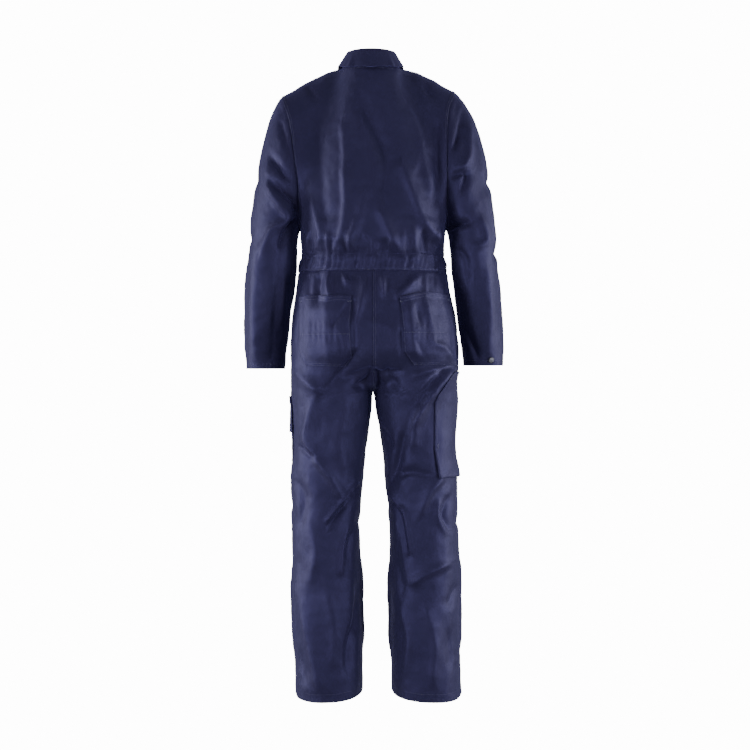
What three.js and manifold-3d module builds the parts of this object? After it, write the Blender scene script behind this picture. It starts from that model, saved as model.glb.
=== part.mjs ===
// A navy drill boiler suit in its worn shape, empty. Millimetres, +Z up.
// The origin is midway between the shoulder points. +X is the wearer's right and +Y the wearer's front.
import * as THREE from "three";
import { mergeVertices } from "three/addons/utils/BufferGeometryUtils.js";
import Module from "manifold-3d";

// Cloth and seams
const CLOTH = 1.5;
const DOUBLE_CLOTH = 2.4;
const SEAM_PULL = 0.13;
const EDGE_PULL = 0.06;
const LIFT = 0.35;

// Heights of the main lines
const ARMPIT_Z = -393;
const CASING_TOP_Z = -464;
const WAIST_SEAM_Z = -504;
const SEAT_Z = -683;
const CROTCH_Z = -795;
const SLEEVE_FREE_Z = -440;

// Columns of each quarter of the body and rows of each stretch
const SHOULDER_COLUMNS = 6;
const BACK_NECK_COLUMNS = 10;
const FRONT_NECK_COLUMNS = 4;
const BACK_COLUMNS = 2 * SHOULDER_COLUMNS + BACK_NECK_COLUMNS;
const FRONT_COLUMNS = SHOULDER_COLUMNS + FRONT_NECK_COLUMNS;
const ARMHOLE_ROWS = 10;
const SLEEVE_CAP_ROWS = 7;
const CASING_SPLITS = 5;
const SEAM_FADE_ROWS = 3;

// Where the folds were drawn from: an eye this far off at this height
const EYE_DISTANCE = 4000;
const EYE_Z = -752;

// Half widths and half depths of the body, down to the crotch
const BODY = [
  { z: -393, left: 177, right: 178, back: 146, front: 142, power: 0.74 },
  { z: -422, left: 176, right: 175, back: 147, front: 142, power: 0.76 },
  { z: -445, left: 173, right: 174, back: 140, front: 138, power: 0.8 },
  { z: -464, left: 173, right: 174, back: 131, front: 133, power: 0.83 },
  { z: -484, left: 178, right: 178, back: 127, front: 129, power: 0.84 },
  { z: -504, left: 182, right: 181, back: 128, front: 128, power: 0.84 },
  { z: -539, left: 186, right: 185, back: 139, front: 131, power: 0.82 },
  { z: -598, left: 193, right: 195, back: 151, front: 134, power: 0.8 },
  { z: -656, left: 198, right: 203, back: 157, front: 134, power: 0.8 },
  { z: -686, left: 200, right: 205, back: 157, front: 133, power: 0.8 },
  { z: -795, left: 200, right: 205, back: 146, front: 126, power: 0.8 },
];

// Outer and inner edges of each leg from the middle of the body, and its half depths
const LEG = [
  { z: -683, leftOut: 200, leftIn: 0, rightOut: 205, rightIn: 0, back: 150, front: 126 },
  { z: -795, leftOut: 200, leftIn: 0, rightOut: 205, rightIn: 0, back: 128, front: 113 },
  { z: -803, leftOut: 200, leftIn: 1.5, rightOut: 205, rightIn: 2, back: 126, front: 111 },
  { z: -832, leftOut: 196, leftIn: 3, rightOut: 203, rightIn: 6, back: 120, front: 106 },
  { z: -891, leftOut: 194, leftIn: 10, rightOut: 201, rightIn: 16, back: 111, front: 99 },
  { z: -949, leftOut: 195, leftIn: 19, rightOut: 201, rightIn: 25, back: 104, front: 95 },
  { z: -1008, leftOut: 200, leftIn: 24, rightOut: 205, rightIn: 30, back: 99, front: 93 },
  { z: -1066, leftOut: 199, leftIn: 28, rightOut: 206, rightIn: 35, back: 95, front: 92 },
  { z: -1125, leftOut: 198, leftIn: 32, rightOut: 207, rightIn: 40, back: 93, front: 90 },
  { z: -1213, leftOut: 195, leftIn: 32, rightOut: 209, rightIn: 41, back: 92, front: 87 },
  { z: -1388, leftOut: 191, leftIn: 27, rightOut: 211, rightIn: 44, back: 89, front: 85 },
  { z: -1535, leftOut: 188, leftIn: 25, rightOut: 216, rightIn: 46, back: 86, front: 84 },
];
const LEG_POWER = 0.9;

// Outer and inner edges of each sleeve, half depths, and how far forward its middle lies
const SLEEVE = [
  { z: -440, leftOut: 302, leftIn: 184, rightOut: 300, rightIn: 185, depth: 86, forward: -3 },
  { z: -481, leftOut: 305, leftIn: 184, rightOut: 303, rightIn: 189, depth: 82, forward: -4 },
  { z: -539, leftOut: 307, leftIn: 189, rightOut: 307, rightIn: 196, depth: 75, forward: 0 },
  { z: -598, leftOut: 310, leftIn: 200, rightOut: 311, rightIn: 204, depth: 69, forward: 6 },
  { z: -656, leftOut: 311, leftIn: 206, rightOut: 315, rightIn: 211, depth: 63, forward: 13 },
  { z: -715, leftOut: 310, leftIn: 212, rightOut: 318, rightIn: 220, depth: 57, forward: 20 },
  { z: -738, leftOut: 309, leftIn: 214, rightOut: 317, rightIn: 222, depth: 55, forward: 22 },
];
const SLEEVE_POWER = 0.92;
const CUFF_Z = { left: -737, right: -729 };

// The armhole seams, from the shoulder down
const ARMHOLE = {
  left: [
    { z: -74, x: 222 },
    { z: -84, x: 220 },
    { z: -146, x: 200 },
    { z: -249, x: 185 },
    { z: -312, x: 178 },
    { z: -393, x: 177 },
  ],
  right: [
    { z: -63, x: 200 },
    { z: -78, x: 196 },
    { z: -112, x: 183 },
    { z: -156, x: 178 },
    { z: -224, x: 177 },
    { z: -393, x: 178 },
  ],
};
const ARMHOLE_HALF_DEPTH = 84;
const CAP_FULLNESS = { left: 0.42, right: 0.6 };

// The shoulder seams, from the armhole to the neck
const SHOULDER = {
  left: [
    { x: 222, z: -74 },
    { x: 183, z: -50 },
    { x: 144, z: -29 },
    { x: 107, z: -12 },
    { x: 75.5, z: -3 },
  ],
  right: [
    { x: 200, z: -63 },
    { x: 178, z: -49 },
    { x: 139, z: -27.5 },
    { x: 99, z: -10.5 },
    { x: 66.5, z: -3 },
  ],
};
const SHOULDER_Y = 4;

// The neck seam
const NECK_X = -4.5;
const NECK_HALF_WIDTH = 71;
const NECK_BACK_DEPTH = 72;
const NECK_FRONT_DEPTH = 70;
const NECK_SIDE_Z = -3;
const NECK_BACK_Z = 5;
const NECK_FRONT_DROP = 80;

// Hems
const HEM_SIDE_Z = -1525;
const HEM_BACK_DROP = 14;
const HEM_FRONT_RISE = 6;
const HEM_IN_RISE = 7;
const HEM_SKEW = 0.85;

// The largest folds, drawn as seen from the side named. The path is pairs of across and z.
// Across is X from behind and in front, and Y from the left and right.
const FOLDS = [
  {
    on: "body", view: "back", width: 24, depth: 10,
    path: [[-72, -127], [-70, -250], [-72, -383], [-98, -444]],
  },
  { on: "body", view: "back", path: [[-122, -125], [-116, -260], [-108, -385]], width: 27, depth: -10 },
  {
    on: "body", view: "back", width: 30, depth: -9,
    path: [[-29, -90], [14, -160], [34, -215], [24, -300]],
  },
  {
    on: "body", view: "back", width: 24, depth: 10,
    path: [[71, -237], [88, -290], [122, -373], [160, -425]],
  },
  { on: "body", view: "back", path: [[15, -346], [46, -417], [66, -450]], width: 22, depth: 8 },
  { on: "body", view: "back", path: [[150, -144], [152, -250], [148, -330]], width: 20, depth: -8 },
  { on: "body", view: "back", path: [[112, -512], [61, -560]], width: 24, depth: 6 },
  { on: "body", view: "back", path: [[-60, -742], [-124, -800]], width: 24, depth: -8 },
  { on: "body", view: "back", path: [[192, -745], [137, -815]], width: 24, depth: 8 },
  { on: "body", view: "back", path: [[-149, -825], [-164, -900], [-149, -949]], width: 24, depth: 8 },
  { on: "body", view: "back", path: [[-142, -956], [-76, -1059]], width: 24, depth: 9 },
  { on: "body", view: "back", path: [[-33, -1000], [-73, -1064], [-115, -1115]], width: 22, depth: -10 },
  { on: "body", view: "back", path: [[-186, -1264], [-159, -1393], [-134, -1513]], width: 26, depth: 8 },
  { on: "body", view: "back", path: [[-36, -1266], [-59, -1408], [-63, -1470]], width: 24, depth: -7 },
  { on: "body", view: "back", path: [[74, -900], [63, -944], [50, -1010]], width: 22, depth: -8 },
  { on: "body", view: "back", path: [[52, -1035], [80, -1088], [95, -1188]], width: 24, depth: 9 },
  { on: "body", view: "back", path: [[195, -1050], [168, -1093], [186, -1132]], width: 24, depth: -9 },
  { on: "body", view: "back", path: [[102, -1257], [183, -1215]], width: 24, depth: 7 },
  { on: "body", view: "back", path: [[115, -1330], [140, -1450], [150, -1510]], width: 28, depth: 7 },
  { on: "body", view: "front", path: [[-90, -150], [-96, -300], [-70, -440]], width: 28, depth: 9 },
  { on: "body", view: "front", path: [[96, -170], [88, -320], [112, -450]], width: 28, depth: 9 },
  { on: "body", view: "front", path: [[-140, -180], [-130, -330]], width: 26, depth: -8 },
  { on: "body", view: "front", path: [[70, -640], [150, -720]], width: 26, depth: -8 },
  { on: "body", view: "front", path: [[-62, -650], [-146, -712]], width: 26, depth: -8 },
  { on: "body", view: "front", path: [[-60, -1010], [-130, -1070]], width: 26, depth: 9 },
  { on: "body", view: "front", path: [[84, -1090], [160, -1040]], width: 26, depth: 9 },
  { on: "body", view: "front", path: [[-150, -1380], [-80, -1440]], width: 26, depth: 8 },
  { on: "body", view: "front", path: [[90, -1440], [165, -1395]], width: 26, depth: 8 },
  { on: "body", view: "left", path: [[-40, -1090], [50, -1060]], width: 24, depth: -8 },
  { on: "body", view: "right", path: [[-50, -1100], [40, -1130]], width: 24, depth: -8 },
  { on: "left", view: "back", path: [[-252, -226], [-214, -272]], width: 22, depth: -8 },
  { on: "left", view: "back", path: [[-256, -284], [-200, -330]], width: 22, depth: -9 },
  {
    on: "left", view: "back", width: 24, depth: 9,
    path: [[-226, -352], [-214, -372], [-246, -402], [-271, -449]],
  },
  { on: "left", view: "back", path: [[-234, -480], [-240, -600], [-246, -700]], width: 22, depth: -7 },
  { on: "right", view: "back", path: [[234, -146], [232, -217], [217, -252]], width: 22, depth: 8 },
  { on: "right", view: "back", path: [[200, -268], [226, -262], [217, -302]], width: 22, depth: -8 },
  { on: "right", view: "back", path: [[206, -392], [232, -384], [262, -372]], width: 22, depth: -9 },
  { on: "right", view: "back", path: [[262, -560], [258, -640], [266, -700]], width: 22, depth: 6 },
  { on: "left", view: "left", path: [[-40, -420], [30, -470]], width: 24, depth: -9 },
  { on: "left", view: "left", path: [[-30, -300], [36, -260]], width: 24, depth: -8 },
  { on: "right", view: "right", path: [[-30, -286], [40, -300]], width: 24, depth: -9 },
  { on: "right", view: "right", path: [[-36, -470], [44, -430]], width: 24, depth: -9 },
  { on: "left", view: "front", path: [[-290, -430], [-216, -486]], width: 24, depth: -9 },
  { on: "left", view: "front", path: [[-284, -560], [-230, -610]], width: 24, depth: 7 },
  { on: "right", view: "front", path: [[290, -450], [214, -420]], width: 24, depth: -9 },
  { on: "right", view: "front", path: [[288, -590], [236, -560]], width: 24, depth: 7 },
];

// A smooth line through one column of a table, level wherever the column turns back.
function along(table, key, column, place) {
  const rising = table[1][key] > table[0][key];
  const rows = rising ? table : [...table].reverse();
  const last = rows.length - 1;
  if (place <= rows[0][key]) return rows[0][column];
  if (place >= rows[last][key]) return rows[last][column];
  const slopes = [];
  for (let i = 0; i < last; i++) {
    slopes.push((rows[i + 1][column] - rows[i][column]) / (rows[i + 1][key] - rows[i][key]));
  }
  const turn = (i) => {
    if (i === 0) return slopes[0];
    if (i === last) return slopes[last - 1];
    const product = slopes[i - 1] * slopes[i];
    return product > 0 ? (2 * product) / (slopes[i - 1] + slopes[i]) : 0;
  };
  let i = 0;
  while (place > rows[i + 1][key]) i += 1;
  const step = rows[i + 1][key] - rows[i][key];
  const f = (place - rows[i][key]) / step;
  return (
    rows[i][column] * (1 + 2 * f) * (1 - f) ** 2 +
    step * turn(i) * f * (1 - f) ** 2 +
    rows[i + 1][column] * f * f * (3 - 2 * f) +
    step * turn(i + 1) * f * f * (f - 1)
  );
}

const mix = (a, b, f) => a + (b - a) * f;
const clamp01 = (f) => Math.min(1, Math.max(0, f));
const ease = (from, to, x) => {
  const f = clamp01((x - from) / (to - from));
  return f * f * (3 - 2 * f);
};
const rounded = (value, power) => Math.sign(value) * Math.abs(value) ** power;

function hermite(start, startPull, end, endPull, f) {
  const point = new THREE.Vector3();
  point.addScaledVector(start, (1 + 2 * f) * (1 - f) ** 2);
  point.addScaledVector(startPull, f * (1 - f) ** 2);
  point.addScaledVector(end, f * f * (3 - 2 * f));
  point.addScaledVector(endPull, f * f * (f - 1));
  return point;
}

// side is -1 for the left and 1 for the right, face is -1 for the back and 1 for the front
const sideName = (side) => (side < 0 ? "left" : "right");
const faceName = (face) => (face < 0 ? "back" : "front");

// A place on the body's quarter ring, from the side seam at 0 to the centre at 1
function bodyPoint(side, face, across, z) {
  const angle = (across * Math.PI) / 2;
  const power = along(BODY, "z", "power", z);
  const halfWidth = along(BODY, "z", sideName(side), z);
  const halfDepth = along(BODY, "z", faceName(face), z);
  const x = side * halfWidth * rounded(Math.cos(angle), power);
  const y = face * halfDepth * rounded(Math.sin(angle), power);
  return new THREE.Vector3(across === 1 ? 0 : x, across === 0 ? 0 : y, z);
}

// A place on a leg's half ring, from the side seam at 0 to the inside seam at 1
function legPoint(side, face, across, z) {
  const angle = across * Math.PI;
  const outer = along(LEG, "z", `${sideName(side)}Out`, z);
  const inner = along(LEG, "z", `${sideName(side)}In`, z);
  const middle = (outer + inner) / 2;
  const halfWidth = (outer - inner) / 2;
  const halfDepth = along(LEG, "z", faceName(face), z);
  const x = side * (middle + halfWidth * rounded(Math.cos(angle), LEG_POWER));
  const seam = across === 0 || across === 1;
  const y = seam ? 0 : face * halfDepth * rounded(Math.sin(angle), LEG_POWER);
  return new THREE.Vector3(x, y, z);
}

// The seat: the body's quarter turns into the leg's half round a U-shaped crotch seam
function trouserPoint(side, face, across, z) {
  const depth = clamp01((SEAT_Z - z) / (SEAT_Z - CROTCH_Z));
  const atCrotch = 1 - Math.sqrt(1 - depth * depth);
  const legShare = mix(ease(0, 1, depth), atCrotch, across ** 3);
  if (legShare === 0) return bodyPoint(side, face, across, z);
  if (legShare === 1) return legPoint(side, face, across, z);
  const point = bodyPoint(side, face, across, z).lerp(legPoint(side, face, across, z), legShare);
  return across === 0 ? point.setY(0) : point;
}

function hemZ(face, across) {
  const bow = Math.sin(across ** HEM_SKEW * Math.PI);
  return HEM_SIDE_Z + HEM_IN_RISE * across + (face < 0 ? -HEM_BACK_DROP : HEM_FRONT_RISE) * bow;
}

// The armhole, from the armpit at 0 to the shoulder at 1
function armholePoint(side, face, up) {
  const table = ARMHOLE[sideName(side)];
  const top = table[0].z;
  const middle = (top + ARMPIT_Z) / 2;
  const half = (top - ARMPIT_Z) / 2;
  const z = middle - half * Math.cos(up * Math.PI);
  const x = side * along(table, "z", "x", z);
  const y = face * ARMHOLE_HALF_DEPTH * Math.sin(up * Math.PI) + SHOULDER_Y * up;
  return new THREE.Vector3(x, up === 0 ? 0 : y, z);
}

// The shoulder seam, from the armhole at 0 to the neck at 1
function shoulderPoint(side, inward) {
  const table = SHOULDER[sideName(side)];
  const x = mix(table[0].x, table[table.length - 1].x, inward);
  return new THREE.Vector3(side * x, SHOULDER_Y, along(table, "x", "z", x));
}

// The neck seam, from the shoulder at 0 to the centre at 1
function neckPoint(side, face, round) {
  const angle = (round * Math.PI) / 2;
  const dip = Math.sin(angle);
  if (face < 0) {
    const x = NECK_X + side * NECK_HALF_WIDTH * Math.cos(angle);
    const z = mix(NECK_SIDE_Z, NECK_BACK_Z, dip);
    return new THREE.Vector3(x, SHOULDER_Y - NECK_BACK_DEPTH * dip, z);
  }
  const x = NECK_X * (1 - dip) + side * NECK_HALF_WIDTH * Math.cos(angle);
  const z = NECK_SIDE_Z - NECK_FRONT_DROP * dip ** 1.7;
  return new THREE.Vector3(round === 1 ? 0 : x, SHOULDER_Y + NECK_FRONT_DEPTH * dip, z);
}

// How the bodice's columns leave the chest and reach the shoulder and the neck
const YOKE = { chestPull: 1.05, shoulderIn: 150, neckIn: 120, shoulderUp: 60, neckUp: 300, armReach: 0.72 };

// The bodice above the armpit: each column bends from the chest over to the shoulder or the neck
function yokePoint(side, face, across, up) {
  const columns = face < 0 ? BACK_COLUMNS / 2 : FRONT_COLUMNS;
  const neckColumns = columns - SHOULDER_COLUMNS;
  const column = across * columns;
  const onShoulder = column <= SHOULDER_COLUMNS;
  const inward = column / SHOULDER_COLUMNS;
  const round = (column - SHOULDER_COLUMNS) / neckColumns;
  const top = onShoulder ? shoulderPoint(side, inward) : neckPoint(side, face, round);
  const chest = bodyPoint(side, face, across, ARMPIT_Z);
  const rise = top.z - chest.z;
  const toNeck = onShoulder ? 0 : ease(0, 1, round);
  const inPull = -face * mix(YOKE.shoulderIn, YOKE.neckIn, toNeck);
  const upPull = mix(YOKE.shoulderUp, YOKE.neckUp, toNeck);
  const chestPull = new THREE.Vector3(0, 0, rise * YOKE.chestPull);
  const point = hermite(chest, chestPull, top, new THREE.Vector3(0, inPull, upPull), up);
  const nearArm = clamp01(1 - across / YOKE.armReach) ** 2;
  const edgeChest = bodyPoint(side, face, 0, ARMPIT_Z);
  const edgeTop = shoulderPoint(side, 0);
  const edgePull = new THREE.Vector3(0, 0, (edgeTop.z - edgeChest.z) * YOKE.chestPull);
  const edgeTopPull = new THREE.Vector3(0, -face * YOKE.shoulderIn, YOKE.shoulderUp);
  const edge = hermite(edgeChest, edgePull, edgeTop, edgeTopPull, up);
  const shift = armholePoint(side, face, up).sub(edge);
  return point.addScaledVector(shift, nearArm);
}

// A place on a sleeve. round goes from the armpit at 0, back, over the top at 0.5, and front to 1
function sleeveRing(side, round, z) {
  const angle = round * 2 * Math.PI;
  const outer = along(SLEEVE, "z", `${sideName(side)}Out`, z);
  const inner = along(SLEEVE, "z", `${sideName(side)}In`, z);
  const depth = along(SLEEVE, "z", "depth", z);
  const x = side * ((outer + inner) / 2 - ((outer - inner) / 2) * rounded(Math.cos(angle), SLEEVE_POWER));
  const y = along(SLEEVE, "z", "forward", z) - depth * rounded(Math.sin(angle), SLEEVE_POWER);
  return new THREE.Vector3(x, y, z);
}

// How the sleeve's columns leave the armhole: bow is the swell at its sides, low and high the drop
const CAP = { low: 0.9, high: 0.54, bow: 0.3, lowFullness: 0.14, endFullness: 0.08 };

function sleeveCapPoint(side, face, round, down) {
  const up = face < 0 ? round * 2 : 2 - round * 2;
  const start = armholePoint(side, face, up);
  const end = sleeveRing(side, round, SLEEVE_FREE_Z);
  const reach = start.distanceTo(end);
  const bow = Math.sin(up * Math.PI);
  const startPull = new THREE.Vector3(
    side * reach * mix(CAP.lowFullness, CAP_FULLNESS[sideName(side)], up),
    face * reach * CAP.bow * bow,
    -reach * mix(CAP.low, CAP.high, up),
  );
  const endPull = new THREE.Vector3(side * CAP.endFullness * reach, 0, -reach);
  return hermite(start, startPull, end, endPull, down);
}

// A panel is rows of places. facing is 1 where its columns turned into its rows point outward.
function makePanel(zone, rowCount, columnCount, facing, pointAt, fadeAt = () => 1) {
  const rows = [];
  for (let r = 0; r <= rowCount; r++) {
    const row = [];
    for (let c = 0; c <= columnCount; c++) {
      const point = pointAt(r, c);
      row.push({ point, fade: fadeAt(r, c), outward: null });
    }
    rows.push(row);
  }
  return { zone, facing, rows };
}

const placeKey = (p) => `${Math.round(p.x * 50)},${Math.round(p.y * 50)},${Math.round(p.z * 50)}`;

// One outward direction for each place, shared by all the panels that meet there
function setOutward(panels) {
  const sums = new Map();
  for (const { rows, facing } of panels) {
    const width = rows[0].length;
    for (let r = 0; r + 1 < rows.length; r++) {
      for (let c = 0; c + 1 < width; c++) {
        const corners = [rows[r][c], rows[r][c + 1], rows[r + 1][c + 1], rows[r + 1][c]];
        const [a, b, d, e] = corners.map((corner) => corner.point);
        const turn = d.clone().sub(a).cross(e.clone().sub(b)).multiplyScalar(facing);
        for (const corner of corners) {
          const key = placeKey(corner.point);
          if (!sums.has(key)) sums.set(key, new THREE.Vector3());
          sums.get(key).add(turn);
        }
      }
    }
  }
  for (const { rows } of panels) {
    for (const row of rows) {
      for (const place of row) place.outward = sums.get(placeKey(place.point)).clone().normalize();
    }
  }
}

// How far a fold lifts the cloth at one place, seen from the fold's own side
function foldHeight(fold, point, outward) {
  const fromBehind = fold.view === "back" || fold.view === "front";
  const towards = { back: -outward.y, front: outward.y, left: -outward.x, right: outward.x }[fold.view];
  if (towards <= 0) return 0;
  const nearer = { back: -point.y, front: point.y, left: -point.x, right: point.x }[fold.view];
  const scale = EYE_DISTANCE / (EYE_DISTANCE - nearer);
  const across = (fromBehind ? point.x : point.y) * (fromBehind ? scale : 1);
  const height = fromBehind ? EYE_Z + (point.z - EYE_Z) * scale : point.z;
  let nearest = Infinity;
  for (let i = 0; i + 1 < fold.path.length; i++) {
    const [ax, az] = fold.path[i];
    const [bx, bz] = fold.path[i + 1];
    const lengthSquared = (bx - ax) ** 2 + (bz - az) ** 2;
    const f = clamp01(((across - ax) * (bx - ax) + (height - az) * (bz - az)) / lengthSquared);
    nearest = Math.min(nearest, Math.hypot(across - mix(ax, bx, f), height - mix(az, bz, f)));
  }
  return fold.depth * Math.exp(-((nearest / fold.width) ** 2)) * ease(0, 0.4, towards);
}

function foldPanels(panels) {
  for (const { zone, rows } of panels) {
    const folds = FOLDS.filter((fold) => fold.on === zone);
    for (const row of rows) {
      for (const place of row) {
        const lift = folds.reduce((sum, fold) => sum + foldHeight(fold, place.point, place.outward), 0);
        place.moved = place.point.clone().addScaledVector(place.outward, lift * place.fade);
      }
    }
  }
  for (const { rows } of panels) {
    for (const row of rows) {
      for (const place of row) place.point = place.moved;
    }
  }
  setOutward(panels);
}

// Moves a free edge or a seam edge a little into its own panel, outer and inner skins alike
function pullEdges(outer, inner, outwardAt) {
  const lastRow = outer.length - 1;
  const lastColumn = outer[0].length - 1;
  const shifts = [];
  const edgeShift = (r, c, before, after, inside) => {
    const tangent = after.clone().sub(before).normalize();
    const into = inside.clone().sub(outer[r][c]);
    const flat = into.clone().addScaledVector(tangent, -into.dot(tangent)).normalize();
    const across = tangent.clone().cross(outwardAt(r, c)).normalize();
    if (across.dot(into) < 0) across.negate();
    return across.multiplyScalar(SEAM_PULL).addScaledVector(flat, EDGE_PULL);
  };
  for (let r = 0; r <= lastRow; r++) {
    for (let c = 0; c <= lastColumn; c++) {
      const shift = new THREE.Vector3();
      if (r === 0 || r === lastRow) {
        const before = Math.max(0, c - 1);
        const after = Math.min(lastColumn, c + 1);
        const inside = outer[r === 0 ? 1 : lastRow - 1][c];
        shift.add(edgeShift(r, c, outer[r][before], outer[r][after], inside));
      }
      if (c === 0 || c === lastColumn) {
        const before = outer[Math.max(0, r - 1)][c];
        const after = outer[Math.min(lastRow, r + 1)][c];
        const inside = outer[r][c === 0 ? 1 : lastColumn - 1];
        shift.add(edgeShift(r, c, before, after, inside));
      }
      shifts.push([r, c, shift]);
    }
  }
  for (const [r, c, shift] of shifts) {
    outer[r][c].add(shift);
    inner[r][c].add(shift);
  }
}

// A bent quad is split along the diagonal that stands proud, whichever way its rows run
function ridgeFirst([a, b, c, d], facing) {
  const outward = c.clone().sub(a).cross(d.clone().sub(b)).multiplyScalar(facing);
  return a.clone().add(c).sub(b).sub(d).dot(outward) >= 0;
}

// A closed wall between two skins of the same rows and columns
function wallGeometry(outer, inner, facing) {
  const rowCount = outer.length;
  const width = outer[0].length;
  const positions = [];
  for (const skin of [outer, inner]) {
    for (const row of skin) {
      for (const p of row) positions.push(p.x, p.y, p.z);
    }
  }
  const outside = (r, c) => r * width + c;
  const inside = (r, c) => rowCount * width + outside(r, c);
  const index = [];
  const quad = (a, b, c, d) => {
    if (facing > 0) index.push(a, b, c, a, c, d);
    else index.push(a, c, b, a, d, c);
  };
  for (let r = 0; r + 1 < rowCount; r++) {
    for (let c = 0; c + 1 < width; c++) {
      const corners = [[r, c], [r, c + 1], [r + 1, c + 1], [r + 1, c]];
      const first = ridgeFirst(corners.map(([row, column]) => outer[row][column]), facing) ? 0 : 1;
      const turned = [0, 1, 2, 3].map((k) => corners[(k + first) % 4]);
      const back = [turned[0], turned[3], turned[2], turned[1]];
      quad(...turned.map(([row, column]) => outside(row, column)));
      quad(...back.map(([row, column]) => inside(row, column)));
    }
  }
  const end = rowCount - 1;
  for (let c = 0; c + 1 < width; c++) {
    quad(outside(0, c + 1), outside(0, c), inside(0, c), inside(0, c + 1));
    quad(outside(end, c), outside(end, c + 1), inside(end, c + 1), inside(end, c));
  }
  const edge = width - 1;
  for (let r = 0; r + 1 < rowCount; r++) {
    quad(outside(r, 0), outside(r + 1, 0), inside(r + 1, 0), inside(r, 0));
    quad(outside(r + 1, edge), outside(r, edge), inside(r, edge), inside(r + 1, edge));
  }
  const geometry = new THREE.BufferGeometry();
  geometry.setAttribute("position", new THREE.Float32BufferAttribute(positions, 3));
  geometry.setIndex(index);
  return geometry;
}

function skinsOf(panel, lift, thickness) {
  const raised = (height) => ({ point, outward }) => point.clone().addScaledVector(outward, height);
  const skin = (height) => panel.rows.map((row) => row.map(raised(height)));
  return { outer: skin(lift + thickness), inner: skin(lift) };
}

function clothWall(panel, thickness = CLOTH) {
  const { outer, inner } = skinsOf(panel, -thickness, thickness);
  pullEdges(outer, inner, (r, c) => panel.rows[r][c].outward);
  return wallGeometry(outer, inner, panel.facing);
}

const suit = new THREE.Group();
const NAVY = { color: 0x242840, roughness: 0.82, metalness: 0 };
const STEEL = { color: 0x9da0a6, roughness: 0.35, metalness: 1 };

function addPiece(name, geometry, look = NAVY) {
  const mesh = new THREE.Mesh(geometry, new THREE.MeshStandardMaterial(look));
  mesh.name = name;
  suit.add(mesh);
  return mesh;
}

// Rows of the bodice, from the bottom up
const CASING_ROWS = 3;
const casingRowZ = (r) => mix(WAIST_SEAM_Z, CASING_TOP_Z, r / CASING_ROWS);
const SIDE_ROWS = 3;
const sideRowZ = (r) => mix(CASING_TOP_Z, ARMPIT_Z, r / SIDE_ROWS);
const armholeFade = (across) => ease(0, 0.2, across);

function bodicePoint(side, face, across, rowFromCasing) {
  if (rowFromCasing <= SIDE_ROWS) return bodyPoint(side, face, across, sideRowZ(rowFromCasing));
  return yokePoint(side, face, across, (rowFromCasing - SIDE_ROWS) / ARMHOLE_ROWS);
}

function backSide(column) {
  const half = BACK_COLUMNS / 2;
  if (column <= half) return { side: -1, across: column / half };
  return { side: 1, across: (BACK_COLUMNS - column) / half };
}

const backBodice = makePanel(
  "body",
  SIDE_ROWS + ARMHOLE_ROWS,
  BACK_COLUMNS,
  1,
  (r, c) => {
    const { side, across } = backSide(c);
    return bodicePoint(side, -1, across, r);
  },
  (r, c) => (r > SIDE_ROWS ? armholeFade(backSide(c).across) : 1),
);

const casing = makePanel("body", CASING_ROWS, BACK_COLUMNS, 1, (r, c) => {
  const { side, across } = backSide(c);
  return bodyPoint(side, -1, across, casingRowZ(r));
});

const frontBodices = [-1, 1].map((side) =>
  makePanel(
    "body",
    CASING_ROWS + SIDE_ROWS + ARMHOLE_ROWS,
    FRONT_COLUMNS,
    side,
    (r, c) => {
      const across = c / FRONT_COLUMNS;
      if (r < CASING_ROWS) return bodyPoint(side, 1, across, casingRowZ(r));
      return bodicePoint(side, 1, across, r - CASING_ROWS);
    },
    (r, c) => (r > CASING_ROWS + SIDE_ROWS ? armholeFade(c / FRONT_COLUMNS) : 1),
  ),
);

// Trousers: rows from the waist seam down, closest round the crotch
const CROTCH_TURNS = [22, 42, 60, 77, 90];
const crotchRowZ = (degrees) => SEAT_Z - (SEAT_Z - CROTCH_Z) * Math.sin((degrees * Math.PI) / 180);
const HIP_ROWS = [-504, -532, -562, -592, -622, -653, SEAT_Z];
const THIGH_ROWS = [-803, -817, -838, -880, -926, -972, -1018, -1064];
const SHIN_ROWS = [-1110, -1156, -1206, -1258, -1312, -1366, -1420, -1474];
const LEG_ROWS = [...THIGH_ROWS, ...SHIN_ROWS];
const TROUSER_ROWS = [...HIP_ROWS, ...CROTCH_TURNS.map(crotchRowZ), ...LEG_ROWS, HEM_SIDE_Z];

function trouserPanel(side, face) {
  const columns = face < 0 ? BACK_COLUMNS / 2 : FRONT_COLUMNS;
  return makePanel("body", TROUSER_ROWS.length - 1, columns, -side * face, (r, c) => {
    const across = c / columns;
    const z = r === TROUSER_ROWS.length - 1 ? hemZ(face, across) : TROUSER_ROWS[r];
    return trouserPoint(side, face, across, z);
  });
}
const backLegs = [-1, 1].map((side) => trouserPanel(side, -1));
const frontLegs = [-1, 1].map((side) => trouserPanel(side, 1));

// Sleeves: a back and a front half, with rows from the armhole to the cuff
const SLEEVE_TUBE_ROWS = [-470, -500, -530, -560, -590, -620, -650, -680, -708];
function sleevePanel(side, face) {
  const tube = [...SLEEVE_TUBE_ROWS, CUFF_Z[sideName(side)]];
  return makePanel(
    sideName(side),
    SLEEVE_CAP_ROWS + tube.length,
    ARMHOLE_ROWS,
    side * face,
    (r, c) => {
      const half = c / (2 * ARMHOLE_ROWS);
      const round = face < 0 ? half : 1 - half;
      if (r <= SLEEVE_CAP_ROWS) return sleeveCapPoint(side, face, round, r / SLEEVE_CAP_ROWS);
      return sleeveRing(side, round, tube[r - SLEEVE_CAP_ROWS - 1]);
    },
    (r) => ease(0, SEAM_FADE_ROWS, r),
  );
}
const backSleeves = [-1, 1].map((side) => sleevePanel(side, -1));
const frontSleeves = [-1, 1].map((side) => sleevePanel(side, 1));

const panels = [
  backBodice,
  casing,
  ...frontBodices,
  ...backLegs,
  ...frontLegs,
  ...backSleeves,
  ...frontSleeves,
];
setOutward(panels);
foldPanels(panels);

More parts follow.
